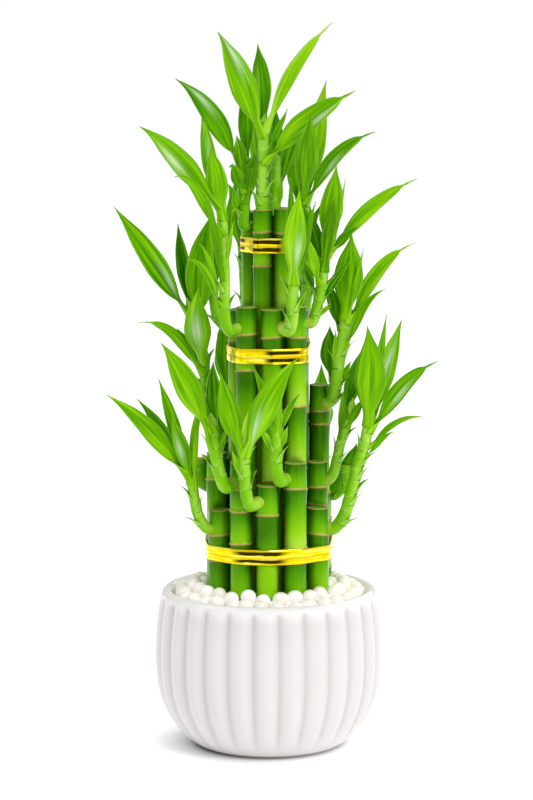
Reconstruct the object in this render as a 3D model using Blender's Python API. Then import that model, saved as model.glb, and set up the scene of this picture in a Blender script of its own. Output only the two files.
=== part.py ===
"""Lucky bamboo tower: canes in three tiers, tied with foil bands, in a fluted bowl of pebbles.

Plan positions and sizes are in millimetres and become metres when a mesh is made. The origin is
the middle of the bowl's foot, +Z is up, and the front of the plant looks along -Y.
"""

import math
from dataclasses import dataclass

import bmesh
import bpy
from mathutils import Quaternion, Vector

MM = 0.001
GAP = 0.3  # between pieces that rest on or hold each other

FOOT_RADIUS = 31.5
BOWL_HEIGHT = 70.0
FLUTES = 27
FLUTE_STEPS = 3
FLUTE_DEPTH = 0.8
FLUTE_PHASE = math.radians(-90 - 1.3)
OUTER_WALL = (
    (FOOT_RADIUS, 0.0),
    (37.0, 4.0),
    (43.0, 12.0),
    (47.6, 20.5),
    (50.1, 30.0),
    (50.7, 40.0),
    (50.2, 52.0),
    (48.8, 62.0),
    (48.0, 66.5),
)
RIM = ((46.9, 69.2), (45.0, BOWL_HEIGHT), (43.0, 69.2), (42.1, 67.0))
INNER_WALL = ((42.4, 60.0), (45.4, 46.0), (45.0, 30.0), (40.0, 16.0), (32.0, 8.5))
BOWL_FLOOR = 7.0
WELL_FLOOR = 14.0  # the canes stand here, with pebbles packed round them
BED_TOP = ((40.0, 67.2), (34.0, 69.0), (26.0, 70.4))

CANE_SIDES = 10
RING_RISE = 0.25  # how far a node ring stands out of its cane
RING_HALF = 1.3
BAND_THICKNESS = 0.5
BAND_HEIGHT = 6.6
STEM_SIDES = 6
CUTTER_SIDES = 16
BLADE_HALF_THICKNESS = 0.45

LOW, MID, TOP = 5.0, 4.75, 4.2  # cane radii of the three tiers


@dataclass(frozen=True)
class Cane:
    """A cane's place, size and the heights of its node rings."""

    name: str
    x: float
    y: float
    radius: float
    top: float
    rings: tuple[float, ...] = ()


CANES = (
    Cane("cane_top_front", -2.9, -4.5, TOP, 237.5, (228, 213)),
    Cane("cane_top_right", 5.9, -4.0, TOP, 238, (228,)),
    Cane("cane_top_left", -8.0, 5.3, TOP, 236, (222,)),
    Cane("cane_top_back", 1.2, 5.0, TOP, 235, (218,)),
    Cane("cane_mid_front", 1.1, -15.5, MID, 195, (183,)),
    Cane("cane_mid_front_left", -9.8, -13.5, MID, 196, (184, 168)),
    Cane("cane_mid_front_right", 11.6, -12.5, MID, 196, (183, 153)),
    Cane("cane_mid_left", -13.2, -3.2, MID, 194, (181,)),
    Cane("cane_mid_right", 12.9, 3.6, MID, 193, (180,)),
    Cane("cane_mid_back_left", -8.0, 15.6, MID, 197, (179,)),
    Cane("cane_mid_back", 3.0, 15.0, MID, 192, (176,)),
    Cane("cane_mid_back_right", 13.2, 13.9, MID, 190, (172,)),
    Cane("cane_low_front", -0.8, -27.0, LOW, 120, (107,)),
    Cane("cane_low_front_left", -12.0, -24.6, LOW, 130, (119, 109, 94)),
    Cane("cane_low_front_right", 11.5, -24.0, LOW, 129.5, (118, 92)),
    Cane("cane_low_left_front", -21.6, -15.5, LOW, 107.5, (97, 86)),
    Cane("cane_low_right_front", 21.4, -16.2, LOW, 108.5, (97,)),
    Cane("cane_low_left", -23.0, -4.3, MID, 131, (119,)),
    Cane("cane_low_right", 21.2, -4.6, MID, 127, (116, 108)),
    Cane("cane_low_left_mid", -21.5, 6.7, MID, 127, (117, 109)),
    Cane("cane_low_right_mid", 22.4, 7.8, MID, 159.5, (148, 142)),
    Cane("cane_low_left_back", -22.6, 17.2, MID, 147, (133, 112)),
    Cane("cane_low_right_back", 23.5, 18.2, MID, 114, (98, 70)),
    Cane("cane_low_back_left", -15.0, 24.6, MID, 133, (118,)),
    Cane("cane_low_back", -4.6, 26.8, MID, 121, (108,)),
    Cane("cane_low_back_mid", 6.4, 26.4, MID, 139, (125,)),
    Cane("cane_low_back_right", 16.6, 26.4, MID, 126, (111,)),
)


@dataclass(frozen=True)
class Leaf:
    """A blade: where it leaves the stem (0 foot to 1 tip), its tip, width and middle point."""

    at: float
    tip: tuple[float, float, float]
    width: float
    via: tuple[float, float, float] | None = None


@dataclass(frozen=True)
class Shoot:
    """A leafy side shoot: the cane it grows from, its stem's route and radii, and its leaves."""

    name: str
    host: str
    route: tuple[tuple[float, float, float], ...]
    radii: tuple[float, float]
    leaves: tuple[Leaf, ...]
    faces: tuple[float, float, float] = (0.0, -0.9, 0.35)


BACKWARD = (0.0, 0.8, 0.6)

SHOOTS = (
    Shoot("shoot_crown_front", "cane_top_front",
          ((-3, -5, 235), (-3, -5.5, 253), (-2, -7, 270)), (2.7, 2.2), (
        Leaf(0.90, (-22, -16, 314), 10.5, (-9, -14, 290)),
        Leaf(0.97, (-5, 5, 309), 7.4),
        Leaf(0.95, (27, -10, 318), 5.7, (5, -13, 292)),
        Leaf(0.65, (37, -18, 289), 8.7, (15, -17, 275)),
    )),
    Shoot("shoot_crown_right", "cane_top_right",
          ((4.5, -3, 236), (3.5, -0.5, 250), (3.5, 1, 262)), (2.2, 1.9), (
        Leaf(0.90, (6, 12, 281), 6.1),
        Leaf(0.60, (17, 14, 270), 7.0, (10, 8, 262)),
    )),
    Shoot("shoot_crown_left", "cane_top_left",
          ((-8.5, 3, 230), (-10, -3, 232), (-11, -5, 238), (-11, -5, 250), (-11, -5, 263)),
          (2.5, 2.2), (
        Leaf(0.97, (-10, -3, 295), 6.1),
        Leaf(0.95, (-40, -13, 294), 7.8, (-24, -11, 280)),
        Leaf(0.60, (-18, -12, 263), 3.9),
        Leaf(0.40, (-18, -9, 248), 3.5),
    )),
    Shoot("shoot_upper_right", "cane_top_right",
          ((8, -2.5, 211), (13, -1, 216), (15, 0.5, 230), (15, 0, 249)), (2.4, 2.2), (
        Leaf(0.97, (18, -8, 280), 9.4),
        Leaf(0.90, (25, 9, 293), 8.7),
        Leaf(0.93, (46, -2, 271), 5.7, (31, -3, 265)),
        Leaf(0.85, (6, 16, 266), 6.5, (13, 8, 256)),
    )),
    Shoot("shoot_mid_front_left", "cane_mid_front_left",
          ((-11, -15, 187), (-16, -20, 185.5), (-19, -22, 192), (-19, -22, 206), (-19.5, -21, 222),
           (-20, -20, 234), (-21, -18, 247)), (2.3, 2.0), (
        Leaf(0.92, (-25, -26, 266), 8.3),
        Leaf(0.97, (-29, -10, 280), 5.7),
        Leaf(0.95, (-55, -26, 274), 8.7, (-40, -26, 264)),
        Leaf(0.85, (-40, -34, 253), 4.4, (-31, -31, 249)),
        Leaf(0.62, (-28, -30, 245), 2.8),
        Leaf(0.50, (-30, -19, 225), 2.8),
        Leaf(0.40, (-35, -28, 219), 3.2, (-27, -26, 213)),
    )),
    Shoot("shoot_mid_left", "cane_mid_left",
          ((-14.5, -3, 187), (-20, -3, 188), (-23.5, -2, 194), (-25.5, 0, 206)), (2.4, 1.9), (
        Leaf(0.95, (-21, 10, 235), 6.1),
        Leaf(0.90, (-31, 12, 222), 5.2),
    )),
    Shoot("shoot_far_left", "cane_low_left_back",
          ((-22, 16, 142), (-27.5, 10.5, 146), (-28, 6, 160), (-29, 2, 174), (-32, 0, 185),
           (-36, -2, 198)), (2.5, 2.0), (
        Leaf(0.95, (-67, -10, 239), 8.7, (-52, -8, 219)),
        Leaf(0.91, (-41, 10, 231), 6.1),
        Leaf(0.87, (-27, -4, 234), 10.4, (-29, -6, 215)),
        Leaf(0.62, (-30, -21, 205), 10.5, (-27.5, -10, 190)),
        Leaf(0.45, (-57, -14, 189), 4.8, (-40, -10, 188)),
        Leaf(0.40, (-41, 14, 184), 3.9),
    )),
    Shoot("shoot_low_mid_left", "cane_low_front_left",
          ((-13.5, -26, 121), (-19, -30, 120), (-22, -31.5, 129), (-24, -31, 140), (-25, -31, 151)),
          (2.8, 2.4), (
        Leaf(0.97, (-46, -38, 183), 10.0, (-35, -38, 169)),
        Leaf(0.92, (-24, -27, 174), 6.1),
    )),
    Shoot("shoot_low_left", "cane_low_left_front",
          ((-23.5, -16, 99), (-28.5, -18.5, 101), (-31.5, -20, 108), (-33, -20, 117),
           (-36, -20, 129)), (2.4, 2.0), (
        Leaf(0.97, (-70, -25, 159), 7.8, (-52, -24, 146)),
        Leaf(0.94, (-58, -6, 155), 5.2, (-47, -10, 143)),
        Leaf(0.98, (-48, -14, 165), 5.2),
        Leaf(0.90, (-42, -31, 151), 6.1),
        Leaf(0.85, (-27, -20, 160), 3.5, (-31, -22, 148)),
    )),
    Shoot("shoot_front_left", "cane_low_front",
          ((-4.6, -30, 113), (-8, -33, 112.3), (-9.8, -34.8, 117.5), (-10.5, -35.6, 128),
           (-11, -36, 144)),
          (2.7, 2.3), (
        Leaf(0.94, (-21, -42, 171), 8.7),
        Leaf(0.90, (12, -44, 177), 10.0, (0, -46, 165)),
        Leaf(0.97, (-9, -41, 153), 3.9),
    )),
    Shoot("shoot_front_mid", "cane_low_front_right",
          ((7.3, -26.8, 122.6), (4.6, -30, 122.6), (3, -32, 129), (3, -33.4, 140),
           (3, -33.5, 151)),
          (2.8, 2.4), (
        Leaf(0.95, (13, -36, 162), 3.2),
        Leaf(0.97, (-7, -35, 174), 3.5),
    )),
    Shoot("shoot_mid_front_right", "cane_mid_front",
          ((2.5, -16.5, 187), (7.5, -21.5, 187), (9.5, -22.5, 193), (9.5, -22.5, 202),
           (11, -22, 216)), (2.7, 2.4), (
        Leaf(0.95, (13, -26, 247), 9.2),
        Leaf(0.90, (9, -12, 252), 3.5),
        Leaf(0.96, (20, -23, 242), 2.8, (16, -24, 230)),
    )),
    Shoot("shoot_mid_right", "cane_mid_front_right",
          ((14, -12, 188), (19, -10.5, 189), (21, -10, 196), (23, -10, 206), (24.5, -10, 217),
           (27, -10, 226)), (2.3, 2.0), (
        Leaf(0.90, (64, -8, 251), 5.7, (41, -8, 236)),
        Leaf(0.96, (39, -15, 231), 3.1),
        Leaf(0.98, (29, -13, 257), 9.2),
        Leaf(0.75, (28, -21, 243), 5.7),
        Leaf(0.85, (16, -3, 238), 6.1),
        Leaf(0.60, (17, -18, 226), 3.9),
        Leaf(0.45, (37, -6, 216), 3.5),
    )),
    Shoot("shoot_right", "cane_low_right_mid",
          ((23, 7, 150), (28, 2.5, 154), (29.5, 0, 162), (31, 0, 172), (33, 0, 185), (34, 0, 198)),
          (2.7, 2.4), (
        Leaf(0.97, (36, -5, 226), 11.8),
        Leaf(0.95, (63, 3, 222), 5.7, (48, 1, 211)),
        Leaf(0.96, (42, -8, 221), 3.1),
        Leaf(0.85, (23, 4, 207), 4.4),
        Leaf(0.70, (51, -4, 203), 3.5, (42, -3, 196)),
        Leaf(0.35, (27, 12, 184), 8.7, (27, 7, 172)),
    )),
    Shoot("shoot_low_right", "cane_low_right_front",
          ((23.5, -16.5, 99), (29, -18, 100), (33, -19, 106), (35.5, -19, 115), (38.5, -19, 127),
           (42, -19, 139), (44.5, -19, 154)), (2.7, 2.3), (
        Leaf(0.97, (42, -27, 189), 12.2, (44, -27, 172)),
        Leaf(0.92, (73, -20, 173), 6.5, (57, -20, 163)),
        Leaf(0.95, (58, -6, 190), 7.8),
        Leaf(0.98, (51, -15, 193), 3.5),
        Leaf(0.80, (67, -23, 149), 2.4, (55, -22, 148)),
        Leaf(0.76, (54, -25, 143), 2.4),
    )),
    Shoot("shoot_right_back", "cane_low_right",
          ((22.5, -4.5, 118), (28, -5, 121), (30, -5, 129), (32, -5, 137), (35, -4, 146),
           (37, -3, 154)), (2.2, 1.9), (
        Leaf(0.92, (42, 1, 179), 7.0),
        Leaf(0.70, (31, -10, 158), 3.1),
        Leaf(0.80, (43, -9, 157), 3.1),
    )),
    Shoot("shoot_right_back_low", "cane_low_right_back",
          ((27, 15, 112), (31, 13, 114), (33, 12, 118), (33.4, 12, 123)), (3.4, 3.6), (
        Leaf(0.80, (39, 10, 135), 6.5),
    )),
    Shoot("shoot_stub_left", "cane_low_left_mid",
          ((-25.5, 6, 115), (-29, 5, 117), (-31, 4.5, 121), (-31.5, 4.5, 127)), (3.9, 4.2), ()),
    Shoot("shoot_back_crown", "cane_top_back",
          ((2, 6, 229), (2, 11, 230), (1.5, 14, 236), (0, 16, 248)), (2.4, 2.0), (
        Leaf(0.95, (-8, 24, 284), 8.5),
        Leaf(0.92, (3, 46, 268), 8.5, (3, 33, 262)),
        Leaf(0.90, (12, 26, 262), 6.0),
    ), BACKWARD),
    Shoot("shoot_back_upper", "cane_mid_back_left",
          ((-8, 17, 186), (-9, 21.5, 186), (-10, 24, 193), (-11, 25, 208), (-11, 26, 222)),
          (2.6, 2.2), (
        Leaf(0.95, (-14, 33, 254), 9.0),
        Leaf(0.92, (-18, 56, 243), 8.5, (-15, 42, 237)),
        Leaf(0.60, (-5, 44, 226), 6.0, (-7, 35, 221)),
    ), BACKWARD),
    Shoot("shoot_back_mid", "cane_mid_back_right",
          ((13.5, 15.5, 184), (15, 20, 184), (16, 22.5, 190), (17, 24, 201), (17, 25, 213)),
          (2.6, 2.2), (
        Leaf(0.95, (16, 34, 244), 9.0),
        Leaf(0.92, (21, 56, 232), 8.5, (19, 42, 228)),
        Leaf(0.65, (8, 45, 214), 6.0, (12, 36, 209)),
    ), BACKWARD),
    Shoot("shoot_back_low_left", "cane_low_back_left",
          ((-15.5, 26, 124), (-17, 31, 124), (-18, 34, 131), (-18, 36, 144), (-18, 37, 156)),
          (2.7, 2.3), (
        Leaf(0.95, (-20, 46, 190), 10.0),
        Leaf(0.92, (-24, 68, 176), 8.5, (-21, 53, 171)),
        Leaf(0.65, (-8, 56, 161), 6.0, (-12, 47, 156)),
    ), BACKWARD),
    Shoot("shoot_back_low", "cane_low_back_mid",
          ((6.4, 28, 130), (7, 33, 130), (7, 35.5, 137), (7, 37, 150), (6, 38, 163)),
          (2.7, 2.3), (
        Leaf(0.95, (2, 47, 197), 10.0),
        Leaf(0.92, (9, 70, 184), 8.5, (8, 55, 179)),
        Leaf(0.65, (16, 58, 168), 6.0, (12, 48, 163)),
    ), BACKWARD),
    Shoot("shoot_back_low_right", "cane_low_back_right",
          ((17.5, 28, 104), (20, 32, 104), (22, 34, 111), (23, 35, 123), (23.5, 36, 134)),
          (2.6, 2.2), (
        Leaf(0.95, (24, 46, 164), 9.0),
        Leaf(0.92, (27, 66, 151), 8.0, (26, 52, 148)),
        Leaf(0.65, (14, 54, 140), 6.0, (18, 46, 134)),
    ), BACKWARD),
)


@dataclass(frozen=True)
class Band:
    """A foil band: its mid height and the first letters of the canes it ties."""

    name: str
    height: float
    ties: str


BANDS = (
    Band("band_top", 222.0, "cane_top"),
    Band("band_mid", 175.0, "cane_mid"),
    Band("band_low", 89.0, "cane_low"),
)


def material(name, colour, roughness, metallic=0.0):
    """A Principled material, made once for each name."""
    found = bpy.data.materials.get(name)
    if found:
        return found
    made = bpy.data.materials.new(name)
    made.use_nodes = True
    shader = made.node_tree.nodes["Principled BSDF"]
    shader.inputs["Base Color"].default_value = (*colour, 1.0)
    shader.inputs["Roughness"].default_value = roughness
    shader.inputs["Metallic"].default_value = metallic
    return made


def porcelain():
    """White glazed porcelain of the bowl."""
    return material("white_glaze", (0.88, 0.86, 0.85), 0.12)


def stone():
    """Polished white pebbles."""
    return material("white_pebble", (0.86, 0.84, 0.78), 0.25)


def foil():
    """Gold foil of the bands."""
    return material("gold_foil", (0.90, 0.66, 0.10), 0.18, 1.0)


def cane_green():
    """Waxy green skin of the canes."""
    return material("cane_green", (0.13, 0.40, 0.03), 0.3)


def leaf_green():
    """Bright green of the stems and leaves."""
    return material("leaf_green", (0.10, 0.42, 0.03), 0.35)


def add_object(name, bm, finish=None):
    """Puts a bmesh in millimetres into the scene as an object in metres."""
    bmesh.ops.scale(bm, vec=(MM, MM, MM), verts=bm.verts)
    mesh = bpy.data.meshes.new(name)
    bm.to_mesh(mesh)
    bm.free()
    obj = bpy.data.objects.new(name, mesh)
    bpy.context.scene.collection.objects.link(obj)
    if finish:
        mesh.materials.append(finish)
        mesh.shade_smooth()
        mesh.set_sharp_from_angle(angle=math.radians(40))
    return obj


def hide_as_cutter(obj):
    """Marks an object as a cutter, so that it is no piece of the plant."""
    obj.hide_render = True
    obj.display_type = "WIRE"


def boolean(target, other, operation):
    """Adds an exact Boolean of the target with another object."""
    step = target.modifiers.new(operation.lower(), "BOOLEAN")
    step.operation = operation
    step.solver = "EXACT"
    step.object = other


def turned(profile, steps):
    """A closed turned solid from a profile that starts and ends on the Z axis."""
    bm = bmesh.new()
    verts = [bm.verts.new((radius, 0.0, height)) for radius, height in profile]
    edges = [bm.edges.new(pair) for pair in zip(verts, verts[1:])]
    bmesh.ops.spin(bm, geom=verts + edges, cent=(0, 0, 0), axis=(0, 0, 1),
                   angle=2 * math.pi, steps=steps, use_merge=True)
    bmesh.ops.remove_doubles(bm, verts=bm.verts, dist=1e-4)
    bmesh.ops.recalc_face_normals(bm, faces=bm.faces)
    return bm


def hull_outline(canes, grow):
    """The convex outline round the canes' circles, each grown by a margin."""
    sides = 20
    points = sorted(
        (cane.x + (cane.radius + grow) * math.cos(2 * math.pi * k / sides),
         cane.y + (cane.radius + grow) * math.sin(2 * math.pi * k / sides))
        for cane in canes for k in range(sides)
    )

    def half(run):
        chain = []
        for point in run:
            while len(chain) > 1 and (
                (chain[-1][0] - chain[-2][0]) * (point[1] - chain[-2][1])
                - (chain[-1][1] - chain[-2][1]) * (point[0] - chain[-2][0])
            ) <= 1e-6:
                chain.pop()
            chain.append(point)
        return chain[:-1]

    return half(points) + half(reversed(points))


def prism(outline, bottom, top):
    """A closed upright prism over an outline."""
    bm = bmesh.new()
    face = bm.faces.new([bm.verts.new((x, y, bottom)) for x, y in outline])
    grown = bmesh.ops.extrude_face_region(bm, geom=[face])["geom"]
    bmesh.ops.translate(bm, vec=(0, 0, top - bottom),
                        verts=[item for item in grown if isinstance(item, bmesh.types.BMVert)])
    bmesh.ops.recalc_face_normals(bm, faces=bm.faces)
    return bm


def smooth_route(points, per_span):
    """Points along a Catmull-Rom curve through the route's points."""
    spots = [Vector(point) for point in points]
    spots = [2 * spots[0] - spots[1], *spots, 2 * spots[-1] - spots[-2]]
    found = []
    for a, b, c, d in zip(spots, spots[1:], spots[2:], spots[3:]):
        for k in range(per_span):
            t = k / per_span
            found.append(0.5 * (2 * b + (c - a) * t + (2 * a - 5 * b + 4 * c - d) * t * t
                                + (3 * b - a - 3 * c + d) * t ** 3))
    return [*found, spots[-2]]


def make_bowl():
    """The fluted bowl: a full flat foot, a ribbed belly and a round rim."""
    inner = (*INNER_WALL, (0.0, BOWL_FLOOR))
    bm = turned(((0.0, 0.0), *OUTER_WALL, *RIM, *inner), FLUTES * FLUTE_STEPS)
    lowest, highest = OUTER_WALL[1][1] / 2, OUTER_WALL[-1][1] - 1.0
    outer = {round(height, 2): radius for radius, height in OUTER_WALL}
    for vert in bm.verts:
        radius = math.hypot(vert.co.x, vert.co.y)
        on_wall = abs(radius - outer.get(round(vert.co.z, 2), 0.0)) < 0.1
        if radius < FOOT_RADIUS or not (on_wall and lowest < vert.co.z < highest):
            continue
        turn = (math.atan2(vert.co.y, vert.co.x) - FLUTE_PHASE) * FLUTES
        groove = FLUTE_DEPTH * (0.5 + 0.5 * math.cos(turn + math.pi)) ** 3
        vert.co.xy *= 1.0 - groove / radius
    return add_object("bowl", bm, porcelain())


def make_bed():
    """The packed pebbles as one solid, with an oval well for the canes."""
    wall = [(radius - GAP * 1.5, height) for radius, height in reversed(INNER_WALL)]
    profile = ((0.0, BOWL_FLOOR + 2 * GAP), (31.2, BOWL_FLOOR + 2.2), *wall[1:],
               *BED_TOP, (0.0, 70.6))
    bed = add_object("pebble_bed", turned(profile, 36), stone())
    well = add_object("cut_well", prism(hull_outline(CANES, GAP + 0.2), WELL_FLOOR, 90.0))
    hide_as_cutter(well)
    boolean(bed, well, "DIFFERENCE")


def cane_profile(cane):
    """The turned outline of a cane, with a low ridge at each node ring."""
    bottom = WELL_FLOOR + GAP
    profile = [(0.0, bottom), (cane.radius - 0.2, bottom)]
    for ring in sorted(cane.rings):
        profile += [
            (cane.radius - 0.2, ring - RING_HALF),
            (cane.radius - 0.2 + RING_RISE, ring),
            (cane.radius - 0.2, ring + RING_HALF),
        ]
    return [*profile, (cane.radius - 0.2, cane.top), (0.0, cane.top)]


def make_cane(cane):
    """One upright cane, cut square at its top."""
    bm = turned(cane_profile(cane), CANE_SIDES)
    bmesh.ops.translate(bm, vec=(cane.x, cane.y, 0.0), verts=bm.verts)
    add_object(cane.name, bm, cane_green())


def make_band(band):
    """A foil band drawn tight round its canes."""
    canes = [cane for cane in CANES if cane.name.startswith(band.ties)]
    low, high = band.height - BAND_HEIGHT / 2, band.height + BAND_HEIGHT / 2
    ring = add_object(band.name, prism(hull_outline(canes, GAP + BAND_THICKNESS), low, high),
                      foil())
    hole = add_object("cut_" + band.name, prism(hull_outline(canes, GAP), low - 1, high + 1))
    hide_as_cutter(hole)
    boolean(ring, hole, "DIFFERENCE")


def stem_mesh(shoot):
    """The stem as a closed six-sided tube that narrows along its route."""
    route = smooth_route(shoot.route, 2)
    bm = bmesh.new()
    rings = []
    side = (route[1] - route[0]).orthogonal()
    for k, spot in enumerate(route):
        ahead = (route[min(k + 1, len(route) - 1)] - route[max(k - 1, 0)]).normalized()
        side = (side - ahead * side.dot(ahead)).normalized()
        share = k / (len(route) - 1)
        radius = shoot.radii[0] + (shoot.radii[1] - shoot.radii[0]) * share
        rings.append([
            bm.verts.new(spot + Quaternion(ahead, 2 * math.pi * j / STEM_SIDES) @ side * radius)
            for j in range(STEM_SIDES)
        ])
    for lower, upper in zip(rings, rings[1:]):
        for j in range(STEM_SIDES):
            beside = (j + 1) % STEM_SIDES
            bm.faces.new((lower[j], lower[beside], upper[beside], upper[j]))
    bm.faces.new(rings[0])
    bm.faces.new(rings[-1])
    bmesh.ops.recalc_face_normals(bm, faces=bm.faces)
    return bm


BLADE = ((0.0, 0.30), (0.22, 0.62), (0.45, 1.0), (0.72, 0.72))  # along, share of the width


def leaf_mesh(shoot, leaf):
    """A blade as a closed thin lens along a curve from the stem to the tip."""
    route = smooth_route(shoot.route, 4)
    spot = leaf.at * (len(route) - 1)
    before = min(int(spot), len(route) - 2)
    base = route[before].lerp(route[before + 1], spot - before)
    heading = (route[before + 1] - route[before]).normalized()
    tip = Vector(leaf.tip)
    if leaf.via:
        middle = 2 * Vector(leaf.via) - (base + tip) / 2
    else:
        middle = base + heading * (tip - base).length * 0.45
    face = Vector(shoot.faces).normalized()
    bm = bmesh.new()
    rings = []
    for along, share in BLADE:
        t = along
        place = (1 - t) ** 2 * base + 2 * t * (1 - t) * middle + t * t * tip
        ahead = (2 * (1 - t) * (middle - base) + 2 * t * (tip - middle)).normalized()
        side = ahead.cross(face).normalized()
        up = side.cross(ahead).normalized()
        half = leaf.width * share / 2
        rise = up * BLADE_HALF_THICKNESS
        rings.append([bm.verts.new(place + side * half), bm.verts.new(place + rise),
                      bm.verts.new(place - side * half), bm.verts.new(place - rise)])
    for lower, upper in zip(rings, rings[1:]):
        for j in range(4):
            bm.faces.new((lower[j], lower[(j + 1) % 4], upper[(j + 1) % 4], upper[j]))
    end = bm.verts.new(tip)
    for j in range(4):
        bm.faces.new((rings[-1][j], rings[-1][(j + 1) % 4], end))
    bm.faces.new(rings[0])
    bmesh.ops.recalc_face_normals(bm, faces=bm.faces)
    return bm


def make_shoot(shoot):
    """A shoot as one solid: its stem with the leaves joined on, trimmed clear of its cane."""
    stem = add_object(shoot.name, stem_mesh(shoot), leaf_green())
    for number, leaf in enumerate(shoot.leaves):
        blade = add_object(f"cut_{shoot.name}_leaf_{number}", leaf_mesh(shoot, leaf))
        hide_as_cutter(blade)
        boolean(stem, blade, "UNION")
    host = next(cane for cane in CANES if cane.name == shoot.host)
    room = (host.radius + GAP) / math.cos(math.pi / CUTTER_SIDES)
    bm = bmesh.new()
    bmesh.ops.create_cone(bm, cap_ends=True, segments=CUTTER_SIDES, radius1=room, radius2=room,
                          depth=host.top - WELL_FLOOR)
    bmesh.ops.translate(bm, verts=bm.verts,
                        vec=(host.x, host.y, (host.top + WELL_FLOOR) / 2 + GAP))
    cutter = add_object("cut_" + shoot.name, bm)
    hide_as_cutter(cutter)
    boolean(stem, cutter, "DIFFERENCE")


def main():
    """Clears the scene and builds the plant from the bowl up."""
    for obj in list(bpy.data.objects):
        bpy.data.objects.remove(obj, do_unlink=True)
    make_bowl()
    make_bed()
    for cane in CANES:
        make_cane(cane)
    for band in BANDS:
        make_band(band)
    for shoot in SHOOTS:
        make_shoot(shoot)


main()
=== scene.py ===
"""Looks of a lucky bamboo tower: canes in three foil-tied tiers, in a fluted bowl of pebbles.

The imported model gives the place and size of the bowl, the canes and the bands. The shoots repeat
the routes of the construction. Plan numbers are millimetres and become metres in each mesh.
"""

import logging
import math
import random
from collections.abc import Iterable
from dataclasses import dataclass, field
from enum import Enum

import bmesh
import bpy
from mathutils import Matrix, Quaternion, Vector, noise

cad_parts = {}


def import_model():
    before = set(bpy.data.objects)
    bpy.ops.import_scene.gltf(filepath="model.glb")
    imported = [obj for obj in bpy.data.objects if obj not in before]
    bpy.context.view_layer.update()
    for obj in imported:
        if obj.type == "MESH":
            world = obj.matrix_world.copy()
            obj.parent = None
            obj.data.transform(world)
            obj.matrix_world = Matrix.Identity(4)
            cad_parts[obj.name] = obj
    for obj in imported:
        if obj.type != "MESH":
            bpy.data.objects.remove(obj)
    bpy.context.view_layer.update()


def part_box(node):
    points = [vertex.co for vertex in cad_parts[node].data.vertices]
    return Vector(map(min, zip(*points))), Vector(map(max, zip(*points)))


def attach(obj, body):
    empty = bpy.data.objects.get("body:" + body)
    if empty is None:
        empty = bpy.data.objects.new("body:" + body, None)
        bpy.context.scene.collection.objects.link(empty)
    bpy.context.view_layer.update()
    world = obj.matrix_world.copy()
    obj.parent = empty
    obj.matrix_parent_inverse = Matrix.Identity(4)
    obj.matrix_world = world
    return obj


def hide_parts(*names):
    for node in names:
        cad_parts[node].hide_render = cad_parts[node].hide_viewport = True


MM = 0.001
TAU = 2 * math.pi
LOW_TIER_TOP = 180.0
THIRD_TURN = 120.0

log = logging.getLogger("lucky_bamboo")

Point = tuple[float, float, float]
Colour = tuple[float, float, float, float]

WAX: Colour = (0.64, 1.0, 0.1, 1.0)


class Slot(Enum):
    """The record's material slots."""

    GLAZE = "glaze"
    PEBBLE = "pebble"
    FOIL = "foil"
    CANE = "cane"
    FOLIAGE = "foliage"


def paint(red: int, green: int, blue: int) -> Colour:
    """A display colour as the linear colour that a shader takes.

    Args:
        red: Red, 0 to 255.
        green: Green, 0 to 255.
        blue: Blue, 0 to 255.

    Returns:
        The linear red, green, blue and an alpha of 1.
    """
    def linear(value: float) -> float:
        """One channel from display to linear."""
        return value / 12.92 if value <= 0.04045 else ((value + 0.055) / 1.055) ** 2.4

    return (linear(red / 255), linear(green / 255), linear(blue / 255), 1.0)


def bell(distance: float, width: float) -> float:
    """A smooth bump that is 1 at no distance and fades to either side.

    Args:
        distance: How far the point is from the bump's middle.
        width: The distance at which the bump is down to about a third.

    Returns:
        The bump's height, 0 to 1.
    """
    return math.exp(-((distance / width) ** 2))


def ease(low: float, high: float, value: float) -> float:
    """A smooth step.

    Args:
        low: The value at which it is 0.
        high: The value at which it is 1, above or below the low one.
        value: The value to look at.

    Returns:
        The step's height, 0 to 1.
    """
    share = min(max((value - low) / (high - low), 0.0), 1.0)
    return share * share * (3 - 2 * share)


def smooth_route(points: Iterable[Point], per_span: int) -> list[Vector]:
    """Points along a Catmull-Rom curve.

    Args:
        points: The points that the curve runs through.
        per_span: How many steps each span is cut into.

    Returns:
        The points of the curve, both ends included.
    """
    spots = [Vector(point) for point in points]
    spots = [2 * spots[0] - spots[1], *spots, 2 * spots[-1] - spots[-2]]
    found = []
    for a, b, c, d in zip(spots, spots[1:], spots[2:], spots[3:]):
        for k in range(per_span):
            t = k / per_span
            found.append(0.5 * (2 * b + (c - a) * t + (2 * a - 5 * b + 4 * c - d) * t * t
                                + (3 * b - a - 3 * c + d) * t ** 3))
    return [*found, spots[-2]]


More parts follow.
